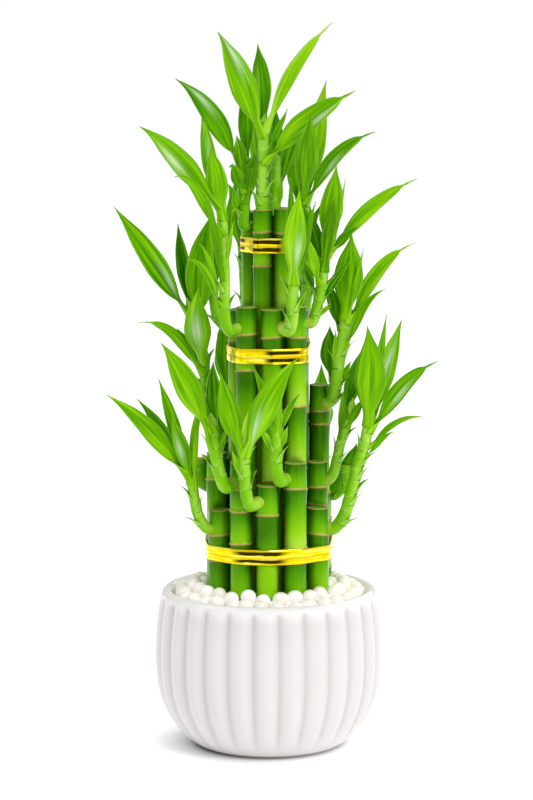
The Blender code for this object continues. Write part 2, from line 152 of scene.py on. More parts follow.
class Recipe:
    """A material's node tree while it is being written."""

    def __init__(self, name: str) -> None:
        """Starts a material with a bare Principled shader.

        Args:
            name: The material's name.
        """
        self.material = bpy.data.materials.new(name)
        self.material.use_nodes = True
        self.tree = self.material.node_tree
        self.shader = self.tree.nodes["Principled BSDF"]

    def node(self, kind: str, inputs: dict | None = None, **settings: object) -> bpy.types.Node:
        """Adds a node.

        Args:
            kind: The node's type name, without its ShaderNode prefix.
            inputs: Input sockets by name or number, each with a socket to link or a value.
            **settings: Properties of the node.

        Returns:
            The new node.
        """
        made = self.tree.nodes.new("ShaderNode" + kind)
        for key, value in settings.items():
            setattr(made, key, value)
        for key, value in (inputs or {}).items():
            if isinstance(value, bpy.types.NodeSocket):
                self.tree.links.new(value, made.inputs[key])
            else:
                made.inputs[key].default_value = value
        return made

    def attribute(self, name: str) -> bpy.types.NodeSocket:
        """The value of a number that the mesh holds at each vertex."""
        return self.node("Attribute", attribute_name=name).outputs["Fac"]

    def place(self, stretch: Point = (1.0, 1.0, 1.0)) -> bpy.types.NodeSocket:
        """Object coordinates, stretched along each axis."""
        coordinates = self.node("TexCoord").outputs["Object"]
        return self.node("Mapping", {"Vector": coordinates, "Scale": stretch}).outputs["Vector"]

    def grain(self, scale: float, stretch: Point = (1.0, 1.0, 1.0),
              detail: float = 3.0) -> bpy.types.NodeSocket:
        """Noise in object space.

        Args:
            scale: Cells per metre.
            stretch: How much finer the noise is along each axis.
            detail: How many finer layers it has.

        Returns:
            The noise value, about 0.5 on average.
        """
        return self.node("TexNoise", {"Vector": self.place(stretch), "Scale": scale,
                                      "Detail": detail}).outputs["Fac"]

    def drawn(self, across: bpy.types.NodeSocket, along: bpy.types.NodeSocket,
              offset: bpy.types.NodeSocket, fine: float, coarse: float,
              apart: float = 60.0) -> bpy.types.NodeSocket:
        """Noise drawn out lengthwise over a blade.

        Args:
            across: The place across the blade, -1 to 1.
            along: The place along the blade, 0 to 1.
            offset: A number that differs from blade to blade.
            fine: Cells over half the blade's width.
            coarse: Cells over its length.
            apart: Cells between two blades whose offsets differ by 1.

        Returns:
            The noise value, about 0.5 on average.
        """
        spot = self.node("CombineXYZ", {"X": self.sum("MULTIPLY", across, fine),
                                        "Y": self.sum("MULTIPLY", along, coarse),
                                        "Z": self.sum("MULTIPLY", offset, apart)})
        return self.node("TexNoise", {"Vector": spot.outputs["Vector"], "Scale": 1.0,
                                      "Detail": 2.0}).outputs["Fac"]

    def sum(self, operation: str, first: object, second: object = 0.0,
            clamp: bool = False) -> bpy.types.NodeSocket:
        """One step of arithmetic.

        Args:
            operation: The Math node's operation.
            first: Its first input, a socket or a value.
            second: Its second input, a socket or a value.
            clamp: Whether the result is held between 0 and 1.

        Returns:
            The result.
        """
        return self.node("Math", {0: first, 1: second}, operation=operation,
                         use_clamp=clamp).outputs[0]

    def span(self, value: bpy.types.NodeSocket, low: float, high: float,
             to_low: float = 0.0, to_high: float = 1.0) -> bpy.types.NodeSocket:
        """A value moved from one range to another, and held at its ends.

        Args:
            value: The value.
            low: The start of its own range.
            high: The end of its own range.
            to_low: What the start becomes.
            to_high: What the end becomes.

        Returns:
            The moved value.
        """
        return self.node("MapRange", {"Value": value, "From Min": low, "From Max": high,
                                      "To Min": to_low, "To Max": to_high}).outputs["Result"]

    def ramp(self, value: bpy.types.NodeSocket,
             stops: Iterable[tuple[float, Colour]]) -> bpy.types.NodeSocket:
        """Colours along a value.

        Args:
            value: What the colours follow, 0 to 1.
            stops: Places and their colours, in order.

        Returns:
            The colour.
        """
        made = self.node("ValToRGB", {"Fac": value})
        colours = made.color_ramp.elements
        listed = list(stops)
        while len(colours) < len(listed):
            colours.new(0.5)
        for element, (position, colour) in zip(colours, listed):
            element.position = position
            element.color = colour
        return made.outputs["Color"]

    def blend(self, share: object, first: object, second: object,
              mode: str = "MIX") -> bpy.types.NodeSocket:
        """Two colours mixed.

        Args:
            share: How much of the second there is, a socket or a value from 0 to 1.
            first: The first colour, a socket or a value.
            second: The second colour, a socket or a value.
            mode: How the second lies on the first.

        Returns:
            The mixed colour.
        """
        made = self.node("Mix", data_type="RGBA", blend_type=mode)
        for socket, value in ((made.inputs[0], share), (made.inputs[6], first),
                              (made.inputs[7], second)):
            if isinstance(value, bpy.types.NodeSocket):
                self.tree.links.new(value, socket)
            else:
                socket.default_value = value
        return made.outputs[2]

    def relief(self, height: bpy.types.NodeSocket, distance: float, strength: float = 1.0) -> None:
        """Bumps the surface by a height.

        Args:
            height: The height, 0 to 1.
            distance: What a height of 1 stands for, in millimetres.
            strength: How strongly the bump shows.
        """
        made = self.node("Bump", {"Height": height, "Distance": distance * MM,
                                  "Strength": strength})
        self.tree.links.new(made.outputs["Normal"], self.shader.inputs["Normal"])

    def set(self, **values: object) -> "Recipe":
        """Sets or links the shader's sockets, named with underscores for spaces."""
        for key, value in values.items():
            socket = self.shader.inputs[key.replace("_", " ")]
            if isinstance(value, bpy.types.NodeSocket):
                self.tree.links.new(value, socket)
            else:
                socket.default_value = value
        return self


@dataclass(frozen=True)
class PorcelainFinish:
    """White glaze, with painted shade in the flutes, painted light on the lip and a brown foot line
    of bare foot and painted contact shadow.
    """

    body: Colour = paint(227, 223, 222)
    mottle_and_groove_shade: Colour = paint(208, 199, 197)
    lip: Colour = paint(242, 239, 239)
    foot: Colour = paint(84, 68, 58)
    roughness: float = 0.1
    cloudy: float = 0.12
    coat: float = 0.3
    coat_roughness: float = 0.05

    def material(self) -> bpy.types.Material:
        """Builds the glaze."""
        recipe = Recipe("porcelain_glaze")
        mottle = recipe.span(recipe.grain(14.0), 0.3, 0.7, 0.0, self.cloudy)
        # Painted shade in the flutes, joined with the glaze's random cloudiness.
        mottle_and_groove_shade = recipe.sum("MAXIMUM", recipe.attribute("groove"), mottle, clamp=True)
        # Painted light: the lip's glaze is lighter than the body.
        glazed = recipe.blend(recipe.attribute("lip"), self.body, self.lip)
        glazed = recipe.blend(mottle_and_groove_shade, glazed, self.mottle_and_groove_shade)
        # The brown foot line: bare foot with a painted contact shadow.
        recipe.set(Base_Color=recipe.blend(recipe.attribute("foot"), glazed, self.foot),
                   Roughness=recipe.span(recipe.grain(60.0), 0.3, 0.7, self.roughness * 0.8,
                                         self.roughness * 1.6),
                   Specular_IOR_Level=0.5, Coat_Weight=self.coat,
                   Coat_Roughness=self.coat_roughness)
        recipe.relief(recipe.grain(45.0, detail=1.0), 0.05)
        return recipe.material


@dataclass(frozen=True)
class PebbleFinish:
    """Polished cream-white stone, each pebble of its own tint, with a faint painted glow."""

    pale: Colour = paint(253, 250, 246)
    warm: Colour = paint(240, 231, 216)
    glow: float = 0.08
    roughness: float = 0.22
    own_tint: float = 0.7
    veined: float = 0.3

    def material(self) -> bpy.types.Material:
        """Builds the stone."""
        recipe = Recipe("polished_pebble")
        veins = recipe.span(recipe.grain(260.0, detail=5.0), 0.42, 0.75)
        share = recipe.sum("ADD", recipe.sum("MULTIPLY", recipe.attribute("tint"), self.own_tint),
                           recipe.sum("MULTIPLY", veins, self.veined), clamp=True)
        colour = recipe.blend(share, self.pale, self.warm)
        # A faint painted glow lifts the pebbles' white.
        recipe.set(Base_Color=colour, Emission_Color=colour, Emission_Strength=self.glow,
                   Roughness=recipe.span(veins, 0.0, 1.0, self.roughness, self.roughness * 2))
        recipe.relief(recipe.grain(900.0), 0.03)
        return recipe.material


@dataclass(frozen=True)
class CaneFinish:
    """Waxy cane skin, dark under each node, paler down to the next one, and darker with painted
    shade where canes stand close.
    """

    under_node: Colour = paint(46, 112, 2)
    upper: Colour = paint(74, 148, 2)
    middle: Colour = paint(106, 178, 4)
    lower: Colour = paint(142, 204, 16)
    foot: Colour = paint(172, 220, 62)
    ring: Colour = paint(214, 178, 112)
    ring_dark: Colour = paint(166, 118, 62)
    cut: Colour = paint(70, 130, 10)
    cut_rim: Colour = paint(214, 176, 108)
    shadow: Colour = paint(18, 58, 0)
    wax: Colour = WAX
    clouded: float = 0.14
    fibrous: float = 0.05
    smooth: float = 0.24
    rough: float = 0.6

    def material(self) -> bpy.types.Material:
        """Builds the cane skin."""
        recipe = Recipe("cane_skin")
        cloud = recipe.span(recipe.grain(70.0, (1, 1, 0.35)), 0.3, 0.7, -self.clouded,
                            self.clouded)
        fibre = recipe.span(recipe.grain(520.0, (1, 1, 0.05)), 0.3, 0.7, -self.fibrous,
                            self.fibrous)
        fade = recipe.sum("ADD", recipe.attribute("fade"), recipe.sum("ADD", cloud, fibre), True)
        skin = recipe.ramp(fade, ((0.0, self.under_node), (0.18, self.upper), (0.45, self.middle),
                                  (0.8, self.lower), (1.0, self.foot)))
        speck = recipe.span(recipe.grain(900.0, (1, 1, 2.5)), 0.4, 0.7)
        node = recipe.blend(speck, self.ring, self.ring_dark)
        skin = recipe.blend(recipe.attribute("ring"), skin, node)
        # Painted shade where other canes stand close.
        skin = recipe.blend(recipe.attribute("crowd"), skin, self.shadow)
        pith = recipe.blend(recipe.span(recipe.grain(1500.0), 0.35, 0.65, 0.0, 0.6),
                            self.cut, self.upper)
        pith = recipe.blend(recipe.attribute("rim"), pith, self.cut_rim)
        worn = recipe.sum("MAXIMUM", recipe.attribute("ring"), recipe.attribute("cut"))
        recipe.set(Base_Color=recipe.blend(recipe.attribute("cut"), skin, pith),
                   Roughness=recipe.span(worn, 0.0, 1.0, self.smooth, self.rough),
                   Specular_IOR_Level=0.4, Specular_Tint=self.wax)
        recipe.relief(recipe.grain(700.0, (1, 1, 0.06)), 0.04, 0.5)
        return recipe.material


@dataclass(frozen=True)
class LeafFinish:
    """Satin leaf with fine lengthwise streaks and a pale margin, painted light and shade from leaf
    to leaf and across the fold, and bright painted highlights.
    """

    name: str = "leaf_blade"
    deep: Colour = paint(36, 98, 1)
    shade: Colour = paint(62, 136, 2)
    body: Colour = paint(102, 176, 0)
    light: Colour = paint(152, 210, 20)
    pale: Colour = paint(182, 224, 104)
    shine: Colour = paint(232, 244, 214)
    margin: Colour = paint(158, 210, 80)
    wax: Colour = WAX
    clouded: float = 0.26
    streaked: float = 0.1
    fold_shade: float = 0.05
    underside: float = 0.12
    roughness: float = 0.3

    def material(self) -> bpy.types.Material:
        """Builds the leaf."""
        recipe = Recipe(self.name)
        across, along = recipe.attribute("across"), recipe.attribute("along")
        tint = recipe.attribute("tint")
        broad = recipe.drawn(across, along, tint, 3.2, 1.6)
        fine = recipe.drawn(across, along, tint, 15.0, 1.2)
        streak = recipe.sum("ADD", recipe.span(broad, 0.3, 0.7, -self.clouded, self.clouded),
                            recipe.span(fine, 0.3, 0.7, -self.streaked, self.streaked))
        # Painted light and shade across the fold: one half lighter, the other darker.
        half = recipe.span(across, -0.1, 0.1, -self.fold_shade, self.fold_shade)
        root = recipe.span(along, 0.04, 0.34, 0.16, 0.0)
        # tint carries each leaf's painted light and shade, with a small random tone.
        light = recipe.sum("ADD", recipe.sum("ADD", tint, streak), recipe.sum("ADD", half, root),
                           True)
        top = recipe.ramp(light, ((0.0, self.deep), (0.22, self.shade), (0.48, self.body),
                                  (0.76, self.light), (1.0, self.pale)))
        below = recipe.blend(self.underside, top, self.light)
        skin = recipe.blend(recipe.attribute("under"), top, below)
        # Painted highlights: bright patches painted on the blade.
        gloss = recipe.sum("MULTIPLY", recipe.attribute("gloss"),
                           recipe.span(fine, 0.3, 0.62, 0.35, 1.0), True)
        skin = recipe.blend(gloss, skin, self.shine)
        edge = recipe.span(recipe.sum("ABSOLUTE", across), 0.9, 1.0, 0.0, 0.55)
        recipe.set(Base_Color=recipe.blend(edge, skin, self.margin), Roughness=self.roughness,
                   Specular_IOR_Level=0.3, Specular_Tint=self.wax)
        recipe.relief(fine, 0.12, 0.6)
        return recipe.material


@dataclass(frozen=True)
class StemFinish:
    """Bright green stem with painted light and shade, pale sheath edges and a tan scar where it
    left the cane.
    """

    deep: Colour = paint(72, 148, 0)
    body: Colour = paint(124, 194, 20)
    pale: Colour = paint(186, 228, 92)
    edge: Colour = paint(206, 234, 140)
    scar: Colour = paint(200, 152, 84)
    wax: Colour = WAX
    clouded: float = 0.22
    roughness: float = 0.27

    def material(self) -> bpy.types.Material:
        """Builds the stem."""
        recipe = Recipe("stem_sheath")
        cloud = recipe.span(recipe.grain(90.0, (1, 1, 0.4)), 0.3, 0.7, -self.clouded,
                            self.clouded)
        # fade holds the stem's painted light and shade.
        light = recipe.sum("ADD", recipe.attribute("fade"), cloud, True)
        skin = recipe.ramp(light, ((0.0, self.deep), (0.5, self.body), (1.0, self.pale)))
        skin = recipe.blend(recipe.attribute("edge"), skin, self.edge)
        worn = recipe.sum("MULTIPLY", recipe.attribute("scar"),
                          recipe.span(recipe.grain(600.0), 0.3, 0.5, 0.6, 1.0), True)
        recipe.set(Base_Color=recipe.blend(worn, skin, self.scar), Roughness=self.roughness,
                   Specular_IOR_Level=0.38, Specular_Tint=self.wax)
        recipe.relief(recipe.grain(420.0, (1, 1, 0.2)), 0.06, 0.5)
        return recipe.material


@dataclass(frozen=True)
class FoilFinish:
    """Thin gold foil, with painted dark olive reflections that run along the band's two halves,
    painted lengthwise streaks of light and a faint painted glow.
    """

    bright: Colour = paint(255, 240, 96)
    gold: Colour = paint(246, 216, 12)
    amber: Colour = paint(226, 192, 8)
    reflection_black: Colour = paint(46, 42, 0)
    glow: float = 0.22
    inside: tuple[float, float] = (0.1, 0.16)
    outside: tuple[float, float] = (0.34, 0.4)

    def material(self) -> bpy.types.Material:
        """Builds the foil, each painted reflection between an inside and an outside edge."""
        recipe = Recipe("gold_foil")
        rise, dark = recipe.attribute("rise"), recipe.attribute("dark")
        ragged = recipe.span(recipe.grain(90.0, (1, 1, 8.0), 4.0), 0.3, 0.7, -0.06, 0.06)
        away = recipe.sum("ADD", recipe.sum("ABSOLUTE", rise), ragged)
        inner = recipe.span(away, *self.inside)
        outer = recipe.span(away, *self.outside, 1.0, 0.0)
        # Painted dark reflections along the band's two halves.
        stripe = recipe.sum("MULTIPLY", recipe.sum("MULTIPLY", inner, outer), dark, True)
        # Painted reflections: lengthwise streaks of amber, gold and bright gold.
        line = recipe.grain(70.0, (1, 1, 14.0), 3.0)
        colour = recipe.ramp(line, ((0.34, self.amber), (0.48, self.gold), (0.66, self.bright)))
        colour = recipe.blend(stripe, colour, self.reflection_black)
        # The foil glows a little as painted light.
        recipe.set(Base_Color=colour, Metallic=1.0, Emission_Color=colour,
                   Emission_Strength=self.glow,
                   Roughness=recipe.span(line, 0.3, 0.7, 0.3, 0.14))
        recipe.relief(recipe.grain(110.0, (1, 1, 5.0)), 0.2, 0.5)
        return recipe.material


@dataclass(frozen=True)
class FloorFinish:
    """Plain matt white floor that glows from a near distance of its middle on, fully at a far one.

    The glow keeps shadows faint away from the foot, and its lack near the foot paints a contact
    shadow. The offset moves its middle, and it and the distances are in metres.
    """

    white: Colour = (0.68, 0.68, 0.68, 1.0)
    glow: float = 0.74
    near: float = 0.027
    far: float = 0.046
    offset: Point = (0.006, -0.001, 0.0)

    def material(self) -> bpy.types.Material:
        """Builds the floor's paint."""
        recipe = Recipe("studio_floor")
        spot = recipe.node("VectorMath", {0: recipe.place(), 1: self.offset}, operation="ADD")
        away = recipe.node("VectorMath", {0: spot.outputs["Vector"]}, operation="LENGTH")
        # Painted contact shadow: no glow near the foot, full glow further out.
        glow = recipe.span(away.outputs["Value"], self.near, self.far, 0.0, self.glow)
        recipe.set(Base_Color=self.white, Roughness=0.9, Specular_IOR_Level=0.0,
                   Emission_Color=self.white, Emission_Strength=glow)
        return recipe.material


def number(bm: bmesh.types.BMesh, name: str) -> bmesh.types.BMLayerItem:
    """The mesh's layer of numbers at its vertices.

    Args:
        bm: The mesh.
        name: The layer's name, which a material finds it by.

    Returns:
        The layer of that name, made if it isn't there yet.
    """
    return bm.verts.layers.float.get(name) or bm.verts.layers.float.new(name)


def publish(name: str, bm: bmesh.types.BMesh, finish: bpy.types.Material,
            stands_for: Iterable[str] = ()) -> bpy.types.Object:
    """Turns a bmesh in millimetres into a finished piece of the plant.

    Args:
        name: The piece's name.
        bm: Its mesh, which this frees.
        finish: Its material.
        stands_for: The construction nodes that it stands for.

    Returns:
        The new object, riding on the plant.
    """
    bmesh.ops.scale(bm, vec=(MM, MM, MM), verts=bm.verts)
    mesh = bpy.data.meshes.new(name)
    bm.to_mesh(mesh)
    bm.free()
    mesh.materials.append(finish)
    mesh.shade_smooth()
    piece = bpy.data.objects.new(name, mesh)
    bpy.context.scene.collection.objects.link(piece)
    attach(piece, "root")
    if stands_for:
        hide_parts(*stands_for)
    log.info("%s: %d faces", name, len(mesh.polygons))
    return piece


def turned(profile: Iterable[tuple[float, float]], steps: int) -> bmesh.types.BMesh:
    """A turned mesh about the Z axis.

    Args:
        profile: Radii and heights, from the lower pole to the upper one.
        steps: How many faces go round.

    Returns:
        The closed mesh, facing out.
    """
    bm = bmesh.new()
    verts = [bm.verts.new((radius, 0.0, height)) for radius, height in profile]
    edges = [bm.edges.new(pair) for pair in zip(verts, verts[1:])]
    bmesh.ops.spin(bm, geom=verts + edges, cent=(0, 0, 0), axis=(0, 0, 1), angle=TAU,
                   steps=steps, use_merge=True)
    bmesh.ops.remove_doubles(bm, verts=bm.verts, dist=1e-4)
    bmesh.ops.recalc_face_normals(bm, faces=bm.faces)
    return bm


@dataclass(frozen=True)
class Sun:
    """A far soft light: its direction from the plant, strength and apparent width in degrees."""

    name: str
    towards: Point
    strength: float
    spread: float

    def build(self) -> None:
        """Adds the light to the scene."""
        data = bpy.data.lights.new(self.name, "SUN")
        data.energy = self.strength
        data.angle = math.radians(self.spread)
        lamp = bpy.data.objects.new(self.name, data)
        lamp.rotation_euler = Vector(self.towards).to_track_quat("Z", "Y").to_euler()
        bpy.context.scene.collection.objects.link(lamp)


@dataclass
class Studio:
    """Camera, white floor and soft light.

    sky is how strongly the plant is lit from the far left and from the far right.
    """

    eye: Point = (-1.1, -1173.0, 308.0)
    pitch: float = 7.5
    lens: float = 121.0
    sensor: float = 36.0
    floor_side: float = 8000.0
    far: float = 50000.0
    sky: tuple[float, float] = (0.6, 0.66)
    suns: tuple[Sun, ...] = (
        Sun("key_light", (0.6, -0.7, 0.75), 0.95, 35.0),
        Sun("spark_light", (0.5, -0.75, 0.9), 0.3, 6.0),
        Sun("left_light", (-0.6, 0.1, 0.9), 0.3, 30.0),
        Sun("back_light", (0.4, 0.8, 0.7), 0.5, 50.0),
    )
    finish: FloorFinish = field(default_factory=FloorFinish)

    def build(self) -> None:
        """Builds the whole studio."""
        self.camera()
        self.floor()
        self.surroundings()
        for sun in self.suns:
            sun.build()

    def camera(self) -> None:
        """Sets the camera at the plant's front, a little above its middle."""
        data = bpy.data.cameras.new("front_camera")
        data.lens = self.lens
        data.sensor_width = self.sensor
        data.clip_end = self.far * MM
        camera = bpy.data.objects.new("front_camera", data)
        camera.location = Vector(self.eye) * MM
        camera.rotation_euler = (math.radians(90.0 - self.pitch), 0.0, 0.0)
        bpy.context.scene.collection.objects.link(camera)
        bpy.context.scene.camera = camera

    def floor(self) -> None:
        """Lays the floor under the bowl's foot."""
        bm = bmesh.new()
        bmesh.ops.create_grid(bm, x_segments=1, y_segments=1, size=self.floor_side / 2 * MM)
        mesh = bpy.data.meshes.new("studio_floor")
        bm.to_mesh(mesh)
        bm.free()
        mesh.materials.append(self.finish.material())
        floor = bpy.data.objects.new("studio_floor", mesh)
        bpy.context.scene.collection.objects.link(floor)

    def surroundings(self) -> None:
        """White surroundings, plain white to the camera and a little stronger on the right."""
        scene = bpy.context.scene
        scene.view_settings.view_transform = "Standard"
        world = bpy.data.worlds.new("studio")
        scene.world = world
        world.use_nodes = True
        tree = world.node_tree
        back = tree.nodes["Background"]
        back.inputs["Color"].default_value = (1.0, 1.0, 1.0, 1.0)
        path = tree.nodes.new("ShaderNodeLightPath")
        share = tree.nodes.new("ShaderNodeMapRange")
        share.inputs["To Max"].default_value = 1.0
        around = tree.nodes.new("ShaderNodeTexCoord")
        parts = tree.nodes.new("ShaderNodeSeparateXYZ")
        tree.links.new(around.outputs["Generated"], parts.inputs["Vector"])
        slope = tree.nodes.new("ShaderNodeMapRange")
        slope.inputs["From Min"].default_value = -1.0
        slope.inputs["To Min"].default_value, slope.inputs["To Max"].default_value = self.sky
        tree.links.new(parts.outputs["X"], slope.inputs["Value"])
        tree.links.new(slope.outputs["Result"], share.inputs["To Min"])
        tree.links.new(path.outputs["Is Camera Ray"], share.inputs["Value"])
        tree.links.new(share.outputs["Result"], back.inputs["Strength"])


@dataclass
class Bowl:
    """The fluted bowl: its profile as shares of its greatest radius and its height.

    The flutes fade in over the wall's foot and out just under the collar. The lip, lit with painted
    light, and the collar are shares of the height, and the foot line, bare foot with a painted
    contact shadow, is in millimetres. rim is the number of the profile's highest point.
    """

    flutes: int = 27
    steps: int = 14
    depth: float = 1.7
    sharpness: float = 1.25
    phase: float = math.radians(-84.8)
    fade_in: float = 0.2
    fade_out: float = 0.05
    collar: float = 0.984
    lip: tuple[float, float] = (0.88, 0.97)
    bare_and_shaded_foot: tuple[float, float] = (1.7, 0.9)
    skin: float = 0.6
    rim: int = 21
    wall: tuple[tuple[float, float], ...] = (
        (0.0, 0.0), (0.3, 0.0), (0.598, 0.0), (0.618, 0.004), (0.675, 0.024), (0.735, 0.058),
        (0.79, 0.097), (0.843, 0.147), (0.892, 0.205), (0.934, 0.272), (0.966, 0.345),
        (0.987, 0.43), (0.998, 0.52), (1.0, 0.6), (0.997, 0.69), (0.989, 0.77), (0.977, 0.845),
        (0.964, 0.91), (0.955, 0.945), (0.943, 0.972), (0.92, 0.991), (0.888, 1.0),
        (0.858, 0.99), (0.838, 0.965), (0.83, 0.925), (0.838, 0.86), (0.868, 0.75),
        (0.89, 0.62), (0.87, 0.4), (0.78, 0.22), (0.6, 0.125), (0.0, 0.11),
    )

    def build(self, finish: bpy.types.Material) -> None:
        """Turns the bowl, presses the flutes into it and glazes it.

        Args:
            finish: The glaze.
        """
        low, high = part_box("bowl")
        radius, height = (high.x - low.x) / 2 / MM, (high.z - low.z) / MM
        profile = self.outline(radius, height)
        bm = turned(profile, self.flutes * self.steps)
        groove, foot, lip = number(bm, "groove"), number(bm, "foot"), number(bm, "lip")
        for vert in bm.verts:
            share = vert.co.z / height
            # Painted light on the lip.
            vert[lip] = ease(*self.lip, share)
            # The foot line: bare foot with a painted contact shadow.
            vert[foot] = ease(*self.bare_and_shaded_foot, vert.co.z)
            reach = math.hypot(vert.co.x, vert.co.y)
            if reach < 1.0 or reach < self.outer(share) * radius - self.skin:
                continue
            turn = (math.atan2(vert.co.y, vert.co.x) - self.phase) * self.flutes / 2
            crest = abs(math.sin(turn))
            strength = ease(self.collar, self.collar - self.fade_out, share)
            strength *= ease(0.0, self.fade_in, share)
            # Painted shade in the flutes, strongest in the grooves.
            vert[groove] = (1.0 - crest) ** 2 * strength
            vert.co.xy *= 1.0 - self.depth * (1.0 - crest ** self.sharpness) * strength / reach
        publish("bowl_glazed", bm, finish, ["bowl"])

    def outer(self, share: float) -> float:
        """The outer wall's radius at one height.

        Args:
            share: The height as a share of the bowl's.

        Returns:
            The radius as a share of the bowl's greatest.
        """
        wall = self.wall[2:self.rim + 1]
        for (reach, rise), (next_reach, next_rise) in zip(wall, wall[1:]):
            if share <= next_rise:
                along = (share - rise) / (next_rise - rise)
                return reach + (next_reach - reach) * max(along, 0.0)
        return wall[-1][0]

    def outline(self, radius: float, height: float) -> list[tuple[float, float]]:
        """The profile in full size, rounded between its points and closed at both poles.

        Args:
            radius: The bowl's greatest radius.
            height: Its height.

        Returns:
            Radii and heights, from the lower pole to the upper one.
        """
        points = [(share * radius, 0.0, rise * height) for share, rise in self.wall]
        run = smooth_route(points[2:-1], 3)
        return [(0.0, 0.0), *((max(spot.x, 0.0), max(spot.z, 0.0)) for spot in run),
                (0.0, points[-1][2])]


@dataclass
class Pebbles:
    """Loose white pebbles between the canes and the rim, in two settled layers.

    They lie in rings from the edge in to the middle, and heap up over the slope, which is a pair
    of reaches from the bowl's axis. A pebble that meets a cane leans on it, and one that has less
    than the least room is left out. These three are gaps to a cane's skin as shares of the size.
    apart is the smallest gap between two pebbles' middles, as a share of the spacing.
    """

    size: float = 3.7
    seed: int = 11
    edge: float = 42.4
    middle: float = 8.0
    layers: tuple[float, ...] = (0.0, -3.6)
    spacing: float = 6.8
    ring_gap: float = 0.86
    stray: float = 0.4
    uneven: float = 0.12
    meets: float = 0.65
    leans: float = 0.66
    least: float = 0.45
    apart: float = 0.66
    sunk: float = 2.1
    heap: float = 3.3
    slope: tuple[float, float] = (39.5, 33.0)
    fill_steps: int = 64

    def build(self, finish: bpy.types.Material, canes: list["Cane"]) -> None:
        """Lays the pebbles ring by ring, beside the canes, and closes the bed under them.

        Args:
            finish: The pebbles' material.
            canes: All canes.
        """
        draw = random.Random(self.seed)
        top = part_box("pebble_bed")[1].z / MM
        bm = bmesh.new()
        tint = number(bm, "tint")
        for drop in self.layers:
            laid: list[Vector] = []
            reach = self.edge - self.size
            while reach > self.middle:
                count = max(int(TAU * reach / self.spacing), 1)
                start = draw.uniform(0.0, TAU)
                for k in range(count):
                    angle = start + TAU * (k + draw.uniform(-self.uneven, self.uneven)) / count
                    away = reach + draw.uniform(-self.stray, self.stray)
                    spot = Vector((away * math.cos(angle), away * math.sin(angle), 0.0))
                    spot = self.beside(spot, canes)
                    if any((spot - other).length < self.spacing * self.apart for other in laid):
                        continue
                    if self.room(spot, canes) < self.size * self.least:
                        continue
                    laid.append(spot.copy())
                    heaped = ease(*self.slope, spot.length) * self.heap
                    spot.z = (top - self.sunk + heaped + drop
                              + draw.uniform(-self.stray, self.stray))
                    self.pebble(bm, tint, spot, draw)
                reach -= self.spacing * self.ring_gap
        publish("pebbles", bm, finish, ["pebble_bed"])
        self.fill(finish, top)

    def room(self, spot: Vector, canes: list["Cane"]) -> float:
        """The gap between a spot and the skin of the nearest cane."""
        return min(cane.gap(spot) for cane in canes)

    def beside(self, spot: Vector, canes: list["Cane"]) -> Vector:
        """Moves a pebble off the cane that it would meet.

        Args:
            spot: Where the pebble's middle would be, at height 0.
            canes: All canes.

        Returns:
            The spot itself, or the nearest one where the pebble leans on that cane.
        """
        if self.room(spot, canes) > self.size * self.meets:
            return spot
        cane = min(canes, key=lambda met: met.gap(spot))
        middle = Vector((cane.x, cane.y, 0.0))
        return middle + (spot - middle).normalized() * (cane.radius + self.size * self.leans)

    def pebble(self, bm: bmesh.types.BMesh, tint: bmesh.types.BMLayerItem, spot: Vector,
               draw: random.Random) -> None:
        """Adds one slightly oval pebble.

        Args:
            bm: The mesh of all pebbles.
            tint: Its layer of tints.
            spot: The pebble's middle.
            draw: Where its size, shape and turn are drawn from.
        """
        made = bmesh.ops.create_icosphere(bm, subdivisions=2, radius=self.size)["verts"]
        sizes = [draw.uniform(0.88, 1.1), draw.uniform(0.88, 1.06), draw.uniform(0.82, 0.96)]
        bmesh.ops.scale(bm, vec=sizes, verts=made)
        turn = Quaternion((draw.uniform(-1, 1), draw.uniform(-1, 1), draw.uniform(-1, 1)),
                          draw.uniform(0.0, TAU))
        bmesh.ops.rotate(bm, cent=(0, 0, 0), matrix=turn.to_matrix(), verts=made)
        bmesh.ops.translate(bm, vec=spot, verts=made)
        shade = draw.uniform(0.0, 1.0) ** 2
        for vert in made:
            vert[tint] = shade

    def fill(self, finish: bpy.types.Material, top: float) -> None:
        """Closes the bed under the loose layers.

        Args:
            finish: The pebbles' material.
            top: The height of the bed's top.
        """
        profile = ((0.0, top - 40.0), (self.edge - 4.0, top - 40.0), (self.edge, top - 9.0),
                   (self.edge - 6.0, top - 6.0), (0.0, top - 4.5))
        bm = turned(profile, self.fill_steps)
        tint = number(bm, "tint")
        for vert in bm.verts:
            vert[tint] = 1.0
        publish("pebble_fill", bm, finish)


